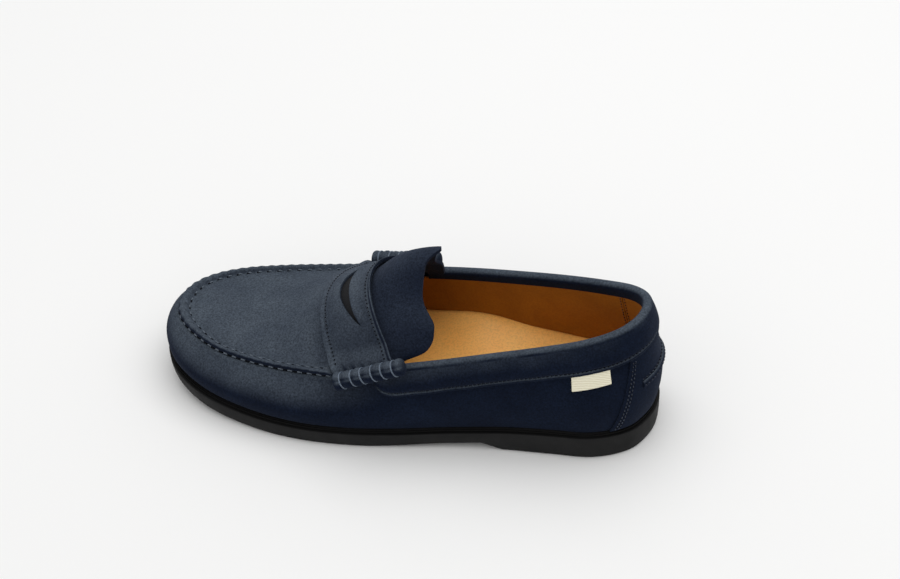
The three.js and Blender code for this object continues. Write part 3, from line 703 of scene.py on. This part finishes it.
def outsole():
    """One moulded unit: lip, side wall, rounded foot, bordering groove and sunk tread floors."""
    ks = sole_rungs()
    top = lambda x: feather_height(x) - GAP
    foot = tread_height
    profile = [
        (2.4, top), (1.9, top), (1.8, lambda x: top(x) - 1.3), (0.5, lambda x: top(x) - 1.4),
        (0.1, lambda x: top(x) - 1.6), (0.0, lambda x: top(x) - 2.3), (0.1, lambda x: top(x) - 4.4),
        (0.35, lambda x: mix(top(x), foot(x), 0.6)),
        (0.9, lambda x: foot(x) + 1.6), (1.3, lambda x: foot(x) + 0.5), (2.1, foot),
        (5.4, foot), (5.6, lambda x: foot(x) + 1.2), (6.9, lambda x: foot(x) + 1.2), (7.1, foot),
        (TREAD_RIM, foot),
        (TREAD_RIM + 0.2, lambda x: foot(x) + tread_floor(x)),
    ]
    points, faces = [], []
    count = len(ks)
    rings = []
    for inset, z in profile:
        lateral, medial = ladder(ks, inset)
        for side in (lateral, medial):
            side[:, 2] = z(side[:, 0])
        rings.append((len(points), len(points) + count))
        points += lateral.tolist() + medial.tolist()
    for (a, b), (c, d) in zip(rings, rings[1:]):
        for i in range(count - 1):
            faces.append((a + i, a + i + 1, c + i + 1, c + i))
            faces.append((b + i + 1, b + i, d + i, d + i + 1))
    for (a, b), turned in ((rings[0], False), (rings[-1], True)):
        for i in range(count - 1):
            face = (a + i, b + i, b + i + 1, a + i + 1)
            faces.append(tuple(reversed(face)) if turned else face)
    obj = mesh_object("outsole_unit", np.array(points), faces, rubber, replaces=["outsole"])
    obj.data.materials.append(rubber_channel_shadow)
    # The channel's faces get the near-black painted shadow.
    for polygon in obj.data.polygons[:SOLE_GROOVE_RINGS * 2 * (count - 1)]:
        polygon.material_index = 1
    sharpen(obj, 35)
    return obj


def sharpen(obj, degrees):
    """Flat shading across edges that turn by more than this angle."""
    made = bmesh.new()
    made.from_mesh(obj.data)
    bmesh.ops.recalc_face_normals(made, faces=made.faces)
    for edge in made.edges:
        if len(edge.link_faces) == 2 and edge.calc_face_angle() > math.radians(degrees):
            edge.smooth = False
    made.to_mesh(obj.data)
    made.free()


def tread_bars(name, span, node):
    """Wavy bars across the sole, whose faces are level with its foot."""
    parts = []
    xs = np.arange(span[0] + 2.4, span[1] - 2.0, TREAD_BAR["pitch"])
    for x in xs:
        k = sector_at(x, TREAD_RIM + 1.4)
        lateral, medial = (p[0] for p in ladder(np.array([k, k + 1e-4]), TREAD_RIM + 1.4))
        count = max(4, int((lateral[1] - medial[1]) / 1.1))
        y = frange(medial[1], lateral[1], count)
        middle = x + TREAD_BAR["wave"] * np.sin(2 * math.pi * y / TREAD_BAR["wavelength"])
        corners = []
        for dx, z in ((-0.5, 1.3), (-0.5, 0.25), (-0.38, 0), (0.38, 0), (0.5, 0.25), (0.5, 1.3)):
            px = middle + dx * TREAD_BAR["width"]
            corners.append(vector(px, y, tread_height(px) + z))
        bar = np.stack(corners, 1)
        sides = bar.shape[1]
        faces = ring_faces(count, sides, turned=True)
        faces += [tuple(range(sides)), tuple((count - 1) * sides + j for j in range(sides))]
        parts.append((bar.reshape(-1, 3), faces))
    points, faces = joined(parts)
    obj = mesh_object(name, points, faces, rubber, replaces=[node])
    sharpen(obj, 35)
    return obj


# ---- Upper -----------------------------------------------------------------------------------

def seam_wave(k):
    """1 at each stitch of the apron seam and -1 halfway between two."""
    return np.cos(2 * math.pi * seam_distance(k) / SEAM_PITCH)


_seam_ks = frange(BEAD_FROM, SECTORS - BEAD_FROM, 800)
_seam_line = rim(_seam_ks)
_seam_run = np.concatenate([[0], np.cumsum(np.linalg.norm(np.diff(_seam_line, axis=0), axis=1))])


def seam_distance(k):
    return np.interp(k, _seam_ks, _seam_run)


def in_seam(k, softness=0.8):
    side = np.minimum(k, SECTORS - k)
    return ease(BEAD_FROM - softness, BEAD_FROM + softness, side)


def vamp():
    """The side wall: one piece right round, puckered below the apron seam."""
    ks = np.concatenate([frange(0.06, 24, 97)[:-1], frange(24, 60, 433), frange(60, 83.94, 97)[1:]])
    ts = np.concatenate([frange(0, 0.8, 18)[:-1], frange(0.8, 1, 16)])
    k, t = np.meshgrid(ks, ts, indexing="ij")
    base = wall_point(k, t)
    below = (1 - t) * np.linalg.norm(wall_point(k, 0) - rim(k), axis=-1)
    lift = 0.35 * ripple(base, 60, 3) * ease(0.02, 0.2, t) * ease(0, 0.25, 1 - t)
    pucker = in_seam(k) * np.exp(-((below - 2.4) / 1.7)**2)
    lift = lift - 0.26 * pucker * seam_wave(k) + 0.25 * pucker
    lift = lift - in_seam(k) * 0.8 * np.exp(-(below / 1.0)**2)
    grid = wall(k, t, lift)
    margin = outline(ks, FEATHER_INSET + 6)
    margin[:, 2] = feather_height(margin[:, 0]) + 0.05
    grid = np.concatenate([margin[:, None], grid], axis=1)
    return shell("vamp_side_wall", grid, suede, SUEDE, 0.35, replaces=["vamp"])


BEAD = [(0.15, -0.9), (-0.3, 0.6), (-0.35, 1.7), (0.0, 2.7), (0.6, 3.3), (1.3, 3.4), (2.0, 2.9), (2.5, 2.0),
        (2.9, 1.1), (3.3, 0.45), (4.0, 0.1), (5.0, 0.0)]


def apron():
    """The top panel: its edge is folded up into a bead that the seam pinches at every stitch."""
    ks = np.concatenate([frange(21.45, 24.4, 18)[:-1], frange(24.4, 59.6, 481), frange(59.6, 62.55, 18)[1:]])
    inner = frange(0, 1, 26)[1:]
    columns = []
    seam = in_seam(ks, 0.5)
    wave = seam_wave(ks)
    for mm, rise in BEAD:
        pinch = 0.16 * wave * (1 if 0.5 < rise < 3.9 else 0.4)
        height = seam * (rise - pinch * (rise > 0)) + (1 - seam) * (-0.5)
        reach = mm + seam * 0.12 * wave * (1 if mm < 1 else -1)
        columns.append((crown_share(ks, reach), height))
    first = crown_share(ks, BEAD[-1][0])
    for v in inner:
        w = mix(first, 1.0, v)
        base = crown_point(ks, w)
        columns.append((w, 0.4 * ripple(base, 46, 8) * ease(0, 0.3, v) * ease(0, 0.35, 1 - v)))
    w = np.stack([c[0] for c in columns], 1)
    lift = np.stack([c[1] for c in columns], 1)
    k = np.broadcast_to(ks[:, None], w.shape)
    lateral_rows = crown(k, w, lift)
    return shell("apron_panel", lateral_rows, suede, SUEDE, 0.0, replaces=["apron"])


def apron_seam():
    """Thick waxed thread: dashes in the groove outside the bead, and smaller ones inside it."""
    ks = frange(BEAD_FROM + 0.2, SECTORS - BEAD_FROM - 0.2, 700)
    outer = wall(ks, wall_share(ks, 0.35), 0.35)
    out = unit(normal(wall_point, ks, 0.97) + 0.3 * normal(crown_point, ks, 0.02))
    inner = crown(ks, crown_share(ks, 3.15), 0.8)
    up = unit(normal(crown_point, ks, 0.05) + 0.4 * vector(0, 0, 1))
    rows = (("outer", outer, out, 0.58, 0.56, 0.3, 0.4, 0.78),
            ("inner", inner, up, 0.46, 0.4, 0.22, 0.3, 0.46))
    for name, path, normals, share, radius, rise, gap_share, gap_radius in rows:
        points, faces = stitch_row(path, normals, SEAM_PITCH, share, radius, rise)
        replaces = ["apron_seam_thread"] if name == "outer" else ()
        mesh_object("apron_%s_stitches" % name, points, faces, seam_thread, replaces=replaces)
        # Near-black marks between the seam's stitches: painted shade for the needle holes.
        between = along_path(path, normals, frange(SEAM_PITCH / 2, path_length(path) - 0.1, 700))
        points, faces = stitch_row(*between, SEAM_PITCH, gap_share, gap_radius, -0.02)
        mesh_object("apron_%s_needle_marks" % name, points, faces, needle_hole_painted_shade)


def roll_frame(side):
    """Ends of a beefroll's centre line, and the unit directions square to it."""
    ends = []
    for i, k in enumerate((ROLL["rear"], ROLL["front"])):
        j = k if side > 0 else SECTORS - k
        n = unit(normal(wall_point, j, 1.0) + normal(crown_point, j, 0.02))
        shift = vector(0, side * ROLL_SHIFT[side]["out"][i], ROLL_SHIFT[side]["up"][i])
        ends.append(rim(np.array(j)) + n * (ROLL["radius"] + ROLL["standoff"]) + shift)
    rear, front = ends
    along = unit(front - rear)
    out = unit(np.cross(along, np.cross(vector(0, 0, 1), along)))
    across = np.cross(along, out)
    return rear, front, along, out, across * np.sign(across[1] * side)


def wrap_wave(v):
    """1 at each thread wrap along a beefroll and 0 halfway between two."""
    steps = (v - WRAPS["first"]) / (WRAPS["last"] - WRAPS["first"]) * (WRAPS["count"] - 1)
    inside = ease(-0.6, -0.2, steps) * (1 - ease(WRAPS["count"] - 0.8, WRAPS["count"] - 0.4, steps))
    return inside * np.abs(np.cos(math.pi * steps))**3


def roll_radius(v):
    """The beefroll swells between its thread wraps and rounds off at both ends."""
    end = np.sqrt(np.clip(1 - np.clip((0.06 - np.minimum(v, 1 - v)) / 0.06, 0, 1)**3.0, 0, 1))
    flare = 0.05 * ease(0.75, 1.0, v)
    return ROLL["radius"] * end * (1.14 + flare - 0.18 * wrap_wave(v))


def beefroll(side, name):
    """The strap's end, rolled up and whipped with thread."""
    rear, front, along, out, across = roll_frame(side)
    v = np.concatenate([[0], 0.5 - 0.5 * np.cos(frange(0.05, math.pi - 0.05, 110)), [1]])
    angle = frange(0, 2 * math.pi, 49)[:-1]
    radius = roll_radius(v)
    ring = out[None] * np.cos(angle)[:, None] + across[None] * np.sin(angle)[:, None]
    centre = rear + (front - rear) * v[:, None]
    points = centre[:, None] + ring[None] * radius[:, None, None]
    fold = -0.35 * np.exp(-((angle - 0.9) / 0.16)**2)[None] * np.minimum(1, radius / 3)[:, None]
    lumps = 0.2 * ripple(points, 7, 12 + side) * np.minimum(1, radius / 3)[:, None] + fold
    points += ring[None] * lumps[..., None]
    faces = ring_faces(*points.shape[:2], turned=True)
    obj = mesh_object("beefroll_" + name + "_rolled", points.reshape(-1, 3), faces, suede,
                      replaces=["beefroll_" + name])
    sharpen(obj, 80)
    parts = []
    for i, v in enumerate(frange(WRAPS["first"], WRAPS["last"], WRAPS["count"])):
        turn = frange(0, 2 * math.pi, 37)
        at = v + 0.01 * np.cos(turn) + (0.006 * (i % 2) - 0.003)
        reach = roll_radius(np.clip(at, 0, 1)) + 0.22
        loop = rear + (front - rear) * at[:, None] + (
            out * np.cos(turn)[:, None] + across * np.sin(turn)[:, None]) * reach[:, None]
        parts.append(tube(loop, 0.46, 8))
    points, faces = joined(parts)
    mesh_object("beefroll_" + name + "_whipping", points, faces, whip_thread,
                replaces=["beefroll_thread_" + name])


def strap_position(k, c, mm_edge, lift):
    """A point over the instep: c runs from 1 at the lateral edge over the spine to -1."""
    j = np.where(c >= 0, k, SECTORS - k)
    w = mix(1.0, crown_share(j, mm_edge), np.abs(c))
    return crown(j, w, lift)


def slot_edges(c):
    """The slot's rear and front edges as shares of the strap's width, at position c across."""
    u = np.clip((c - SLOT["from"]) / (SLOT["to"] - SLOT["from"]), 0, 1)
    lens = np.sin(math.pi * u)**0.8
    rear = SLOT["rear"] + SLOT["bow"] * lens
    return rear, rear + SLOT["open"] * lens


def strap_lift(share, c, k):
    """The strap's height: a narrow ridge at its rear edge, a soft front edge, and gathers at the rolls."""
    lift = 2.5 + 0.7 * np.exp(-(share / 0.16)**2) + 1.0 * np.exp(-((share - 1) / 0.06)**2)
    lift = lift + 0.55 * np.exp(-((share - 0.015) / 0.03)**2) - 0.4 * np.exp(-((share - 0.07) / 0.022)**2)
    side = np.abs(c)
    along_roll = np.clip((k - ROLL["rear"]) / (ROLL["front"] - ROLL["rear"]), 0, 1)
    reach = np.where(c > 0, mix(4.8, 1.2, along_roll), 2.0)
    lift = lift + reach * ease(0.78, 1.0, side) - 0.9 * wrap_wave(along_roll) * ease(0.9, 1.0, side)
    base = strap_position(k, c, STRAP_EDGE, 0 * share)
    return lift + 0.22 * ripple(base, 30, 21)


def saddle_strap():
    """The strap over the instep with its lens-shaped slot."""
    cs = np.concatenate([frange(-1, SLOT["from"], 30)[:-1], frange(SLOT["from"], SLOT["to"], 61),
                         frange(SLOT["to"], 1, 30)[1:]])
    rear_edge, front_edge = slot_edges(cs)
    zones = [(np.zeros_like(cs), rear_edge, 34, 1.2), (front_edge, np.ones_like(cs), 30, -0.4)]
    grids = []
    for low, high, rows, lip in zones:
        u = frange(0, 1, rows)
        share = low[None] + (high - low)[None] * u[:, None]
        c = np.broadcast_to(cs[None], share.shape)
        k = mix(STRAP[0], STRAP[1], share)
        open_here = ease(0.0, 0.12, front_edge - rear_edge)[None]
        edge = (rear_edge if lip > 0 else front_edge)[None]
        lift = strap_lift(share, c, k) + lip * open_here * np.exp(-((share - edge) / 0.09)**2)
        grids.append(strap_position(k, c, STRAP_EDGE, lift)[:, ::-1])
    return shell("penny_strap", grids, suede, 1.7, 0.45, replaces=["saddle_strap"])


def strap_slot_shade_sheet():
    """A near-black sheet under the strap, seen through the slot: painted shade for the dark gap."""
    c, v = np.meshgrid(frange(SLOT["from"], SLOT["to"], 50), frange(0, 1, 9), indexing="ij")
    rear_edge, front_edge = slot_edges(c)
    k = mix(STRAP[0], STRAP[1], mix(rear_edge - 0.09, front_edge + 0.06, v))
    grid = strap_position(k, c, STRAP_EDGE, 0.75 + 0 * c)
    shell("penny_strap_slot_shade", grid, slot_shade_hide, 0.5, 0.0)


def strap_line(share, low=-0.93, high=0.93):
    cs = frange(low, high, 300)
    k = mix(STRAP[0], STRAP[1], share) + 0 * cs
    lift = strap_lift(share + 0 * cs, cs, k)
    path = strap_position(k, cs, STRAP_EDGE, lift)
    return path, unit(path - strap_position(k, cs, STRAP_EDGE, lift - 1))


def tongue():
    """The flap behind the strap; its end curls back, most on the medial side of the middle."""
    free_edge = curve_both_sides()
    us = frange(-1, 1, 81)
    vs = frange(-0.3, 1, 54)
    u, v = np.meshgrid(us, vs, indexing="ij")
    side = np.abs(u)
    j = np.where(u >= 0, TONGUE_ROOT, SECTORS - TONGUE_ROOT)
    root = crown(j, mix(1.0, crown_share(j, 1.6), side), 0.2)
    tip = np.stack([axis(u) for axis in free_edge], -1)
    grid = root + (tip - root) * v[..., None]
    curl = np.clip((v - 0.6) / 0.4, 0, 1)**2 * np.exp(-((u + 0.16) / 0.24)**2)
    grid[..., 0] -= 4.5 * curl
    grid[..., 2] -= 0.4 * curl**2
    grid[..., 2] -= 1.2 * np.clip((v - 0.84) / 0.16, 0, 1)**2 * np.exp(-(u / 0.11)**2)
    swell = np.sin(math.pi * np.clip(v, 0, 1)) * (1 - side**2)
    grid[..., 0] += 1.6 * swell
    grid[..., 2] += 2.4 * swell
    grid += (0.35 * ripple(grid, 30, 5) * ease(0.1, 0.5, v))[..., None] * np.array([0.6, 0, 0.6])
    # The tongue uses the darker suede copy, whose darkness is painted shade.
    obj = shell("tongue_flap_hide", grid[:, ::-1], tongue_suede_painted_shade, 1.9, 0.6, body=None,
                replaces=["tongue"])
    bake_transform(obj)
    return obj


def medial_end(u, x, y, z):
    """The medial lobe is a little narrower than the lateral one and stands further forwards."""
    leaning = float(ease(*TONGUE_MEDIAL["from"], u) * (1 - ease(*TONGUE_MEDIAL["until"], u)))
    middle = TONGUE_END[0][2]
    return -u, x + TONGUE_MEDIAL["forwards"] * leaning, middle - TONGUE_NARROWER * (y - middle), z


def curve_both_sides():
    """The tongue's free edge from its medial to its lateral end, as a curve for each axis."""
    pairs = [medial_end(*p) for p in reversed(TONGUE_END[1:])] + TONGUE_END
    return [curve([(p[0], p[axis]) for p in pairs]) for axis in (1, 2, 3)]


def collar():
    """The padded band round the opening: down the outside, over the top and into the lining."""
    main = frange(-COLLAR_FULL, COLLAR_FULL, 251)
    grids = [collar_grid(main)]
    for sign in (1, -1):
        ks = sign * frange(COLLAR_FULL, COLLAR_FRONT, 18)
        if sign < 0:
            ks = ks[::-1]
        grids.append(collar_grid(ks)[:, :COLLAR_ROWS])
    return shell("collar_band", grids, suede, 1.35, 0.4, replaces=["collar"])


def collar_low(k):
    """The band's lower edge, rounded off at its two front ends."""
    side = np.abs(k)
    corner = np.clip((side - COLLAR_FRONT + 1.9) / 1.9, 0, 1)
    drop = band_drop(k) * np.sqrt(np.clip(1 - corner**2.4, 0.02, 1))
    return wall_share(k, drop)


def collar_face(ks, t, v):
    """The padded outer face, where v runs from the band's lower edge (0) to the rim (1)."""
    pad = 0.6 + 1.35 * np.sin(math.pi * np.asarray(v))**0.6 * (1 - v)**0.35 - 0.6 * v**4
    pad = pad - 1.15 * np.exp(-((v - 0.14) / 0.045)**2)
    return wall(ks, t, COLLAR_RADIUS - COLLAR_CENTRE + pad + 0.2 * ripple(wall_point(ks, t), 22, 14))


def collar_grid(ks):
    """Rows up the outer face, round over the rim and down the inside."""
    low = collar_low(ks)
    n = normal(wall_point, ks, 1.0)
    up = unit(wall_point(ks, 1.0) - wall_point(ks, 0.97))
    centre = rim(ks) - n * COLLAR_CENTRE
    rows = []
    for v in frange(0, 1, COLLAR_ROWS):
        rows.append(collar_face(ks, mix(low, 1.0, v), v))
    for i in range(1, 12):
        a = i * math.pi / 12
        rows.append(centre + n * COLLAR_RADIUS * math.cos(a) + up * COLLAR_RADIUS * math.sin(a))
    for t in (1.0, 0.97, 0.94, 0.925):
        rows.append(wall(ks, t, -COLLAR_CENTRE - COLLAR_RADIUS))
    return np.stack(rows, 1)


def collar_stitches():
    ks = frange(-21.6, 21.6, 700)
    low = collar_low(ks)
    t = low + 2.0 / np.linalg.norm(wall_point(ks, 0) - rim(ks), axis=-1)
    path = collar_face(ks, t, (t - low) / (1 - low))
    stitches("collar_stitching", path, normal(wall_point, ks, t), 2.4, 0.6, 0.28)


def backstay_share(k):
    """The share of the wall's height where the backstay goes under the collar."""
    return wall_share(k, band_drop(k) + 0.2)


def backstay_half(v):
    """The backstay's half width in sectors, from its foot (v = 0) to the collar (1)."""
    return mix(*BACKSTAY_HALF, v)


def backstay():
    """The strip that covers the back seam."""
    us = frange(-1, 1, 49)
    vs = frange(0, 1, 30)
    u, v = np.meshgrid(us, vs, indexing="ij")
    k = u * backstay_half(v)
    t = mix(BACKSTAY_FOOT, backstay_share(k), v)
    lift = 1.45 + 0.15 * ripple(wall_point(k, t), 24, 31)
    return shell("heel_backstay", wall(k, t, lift), suede, 1.1, 0.4, replaces=["backstay"])


def backstay_stitches():
    for sign, side in ((1, "lateral"), (-1, "medial")):
        for row, inset in ((1, 0.32), (2, 0.6)):
            v = frange(0.03, 0.97, 120)
            k = sign * (backstay_half(v) - inset)
            t = mix(BACKSTAY_FOOT, backstay_share(k), v)
            path = wall(k, t, 1.5 + 0.15 * ripple(wall_point(k, t), 24, 31))
            name = "backstay_stitching_%s_%d" % (side, row)
            stitches(name, path, normal(wall_point, k, t), 2.4, 0.66, 0.27)


def heel_band():
    """The short raised band across the backstay, sewn along its upper edge."""
    ks = frange(-4.4, 4.4, 61)
    rows = []
    for v in frange(0, 1, 9):
        rows.append(wall(ks, 0.42 + v * 0.073, 2.1 + 0.9 * math.sin(math.pi * v)**0.7))
    shell("heel_sewn_band", np.stack(rows, 1), suede, 0.9, 0.35, replaces=["heel_band"])
    rows_of_thread = (("heel_band_stitching", 0.505, 1.62, 0.66, 0.3),
                      ("heel_band_stitching_2", 0.457, 3.02, 0.6, 0.26))
    for name, t, lift, share, radius in rows_of_thread:
        stitches(name, wall(ks, t, lift), normal(wall_point, ks, t), 2.6, share, radius)


def side_label():
    """A folded tape that hangs out from under the collar."""
    ks = frange(*(label_sector(x) for x in (LABEL["from"], LABEL["to"])), 25)
    rows = []
    for v in frange(-0.1, 1, 14):
        mm = LABEL["height"] * v
        lift = 1.55 + 0.5 * max(0, v)**2
        rows.append(wall(ks, label_share(ks, mm), lift))
    rows = np.stack(rows[::-1], 1)
    shell("woven_side_tape", rows, tape, 0.95, 0.4, body="label_tape", replaces=["side_label"])


def label_share(k, mm):
    """The share of the wall's height that is this far down the label."""
    return wall_share(k, band_drop(k) + LABEL["below"] + mm)


def label_sector(x):
    """The sector whose point on the label's upper edge has this x."""
    return float(last_where(0.0, LABEL_WITHIN, lambda m: wall(m, label_share(m, 0), 0.4)[..., 0] < x))


# ---- Inside ----------------------------------------------------------------------------------

def lining_wave(k, t, top):
    """The lining's soft unevenness, which fades out at its top."""
    return 0.3 * ripple(wall_point(k, t), 34, 40) * ease(0, 0.3, top - t)


def lining_piece(name, a, b, node, top=LINING_TOP, tucked=0.0):
    """A piece of lining; tucked lets the front one pass behind the quarters where they overlap."""
    ks = frange(a + 0.03, b - 0.03, int((b - a) * 5))
    ts = frange(0.1, top, 26)
    k, t = np.meshgrid(ks, ts, indexing="ij")
    behind = tucked * (1 - ease(24, 30, np.minimum(k, SECTORS - k)))
    grid = wall(k, t, lining_wave(k, t, top) + behind - INNER_FACE)
    return shell(name, grid[:, ::-1], lining, LINING * 0.9, 0.25, replaces=[node])


def linings():
    """Four pieces of lining, with two rows of thread on each heel seam."""
    lining_piece("lining_heel", -7, 7, "heel_lining")
    lining_piece("lining_quarter_lateral", 7, 24, "quarter_lining_lateral")
    lining_piece("lining_quarter_medial", SECTORS - 24, SECTORS - 7, "quarter_lining_medial")
    lining_piece("lining_vamp", 20, SECTORS - 20, "vamp_lining", 0.88, 1.1)
    for sign, side in ((1, "lateral"), (-1, "medial")):
        for offset in (-0.25, 0.25):
            t = frange(0.2, 0.92, 120)
            k = sign * 7 + offset + 0 * t
            inward = -normal(wall_point, k, t)
            path = wall(k, t, lining_wave(k, t, LINING_TOP) - INNER_FACE - 0.02)
            name = "lining_seam_%s_%s" % (side, "rear" if offset < 0 else "front")
            stitches(name, path, inward, 2.4, 0.66, 0.22)


def sock():
    """The insock on its footbed, raised along the medial arch."""
    ks = frange(0, HALF, 121)
    inset = FEATHER_INSET + INNER_FACE - 2.6
    lateral, medial = ladder(ks, inset)
    us = frange(0, 1, 33)
    grid = lateral[:, None] * (1 - us)[None, :, None] + medial[:, None] * us[None, :, None]
    x = grid[..., 0]
    arch = np.exp(-((x - 112) / 34)**2)
    rise = 8.5 * arch * ease(0.5, 1.0, us)[None] + 1.8 * ease(0.62, 1, np.abs(2 * us - 1))[None]
    grid[..., 1] -= 2.5 * arch * ease(0.6, 1.0, us)[None]
    grid[..., 2] = feather_height(x) + SOCK_TOP + rise + 0.25 * ripple(grid, 40, 55)
    return shell("sock_lining", grid, sock_hide, 1.2, 0.0, replaces=["sock"])


# ---- Scene -----------------------------------------------------------------------------------

def build_shoe():
    outsole()
    tread_bars("heel_tread_bars", HEEL_TREAD, "heel_tread")
    tread_bars("forefoot_tread_bars", FOREFOOT_TREAD, "forefoot_tread")
    vamp()
    apron()
    apron_seam()
    saddle_strap()
    # The sheet under the slot is painted shade.
    strap_slot_shade_sheet()
    stitches("strap_front_stitching", *strap_line(0.91), 2.3, 0.62, 0.34)
    stitches("strap_rear_stitching", *strap_line(0.11), 2.3, 0.62, 0.34)
    for name, side in (("lateral", 1), ("medial", -1)):
        beefroll(side, name)
    tongue()
    collar()
    collar_stitches()
    backstay()
    backstay_stitches()
    heel_band()
    side_label()
    linings()
    sock()


def softbox(name, at, size, power, aim=(0, 0, 0.03)):
    data = bpy.data.lights.new(name, "AREA")
    data.shape = "RECTANGLE"
    data.size, data.size_y = size
    data.energy = power
    obj = bpy.data.objects.new(name, data)
    bpy.context.scene.collection.objects.link(obj)
    obj.location = at
    obj.rotation_euler = (Vector(aim) - Vector(at)).to_track_quat("-Z", "Y").to_euler()


def studio():
    """A pale floor, an even pale surround and a large soft light overhead."""
    mesh = bpy.data.meshes.new("studio_floor")
    mesh.from_pydata([(-4, -4, 0), (4, -4, 0), (4, 4, 0), (-4, 4, 0)], [], [(0, 1, 2, 3)])
    floor = bpy.data.objects.new("studio_floor", mesh)
    bpy.context.scene.collection.objects.link(floor)
    mesh.materials.append(Look("studio_white", 0.9, 0.1).colour((0.9, 0.9, 0.895)).material)
    world = bpy.data.worlds.new("studio_surround")
    world.use_nodes = True
    world.node_tree.nodes["Background"].inputs["Color"].default_value = (1, 1, 1, 1)
    world.node_tree.nodes["Background"].inputs["Strength"].default_value = 0.68
    bpy.context.scene.world = world
    bpy.context.scene.view_settings.view_transform = "Standard"
    softbox("overhead", (-0.2, -0.3, 1.6), (2.1, 1.8), 15)


def camera():
    azimuth, elevation = (math.radians(CAMERA[k]) for k in ("azimuth", "elevation"))
    back = Vector((math.sin(azimuth) * math.cos(elevation), -math.cos(azimuth) * math.cos(elevation),
                   math.sin(elevation)))
    aim = Vector(placed(CAMERA["aim"]))
    right = (-back).cross(Vector((0, 0, 1))).normalized()
    up = right.cross(-back)
    roll = math.radians(CAMERA["roll"])
    side = right * math.cos(roll) + up * math.sin(roll)
    head = up * math.cos(roll) - right * math.sin(roll)
    data = bpy.data.cameras.new("camera")
    data.lens = CAMERA["lens"]
    data.sensor_width = 36
    obj = bpy.data.objects.new("camera", data)
    bpy.context.scene.collection.objects.link(obj)
    turn = Matrix((side, head, back)).transposed().to_4x4()
    obj.matrix_world = Matrix.Translation(aim + back * (CAMERA["distance"] / 1000)) @ turn
    bpy.context.scene.camera = obj


build_shoe()
studio()
camera()
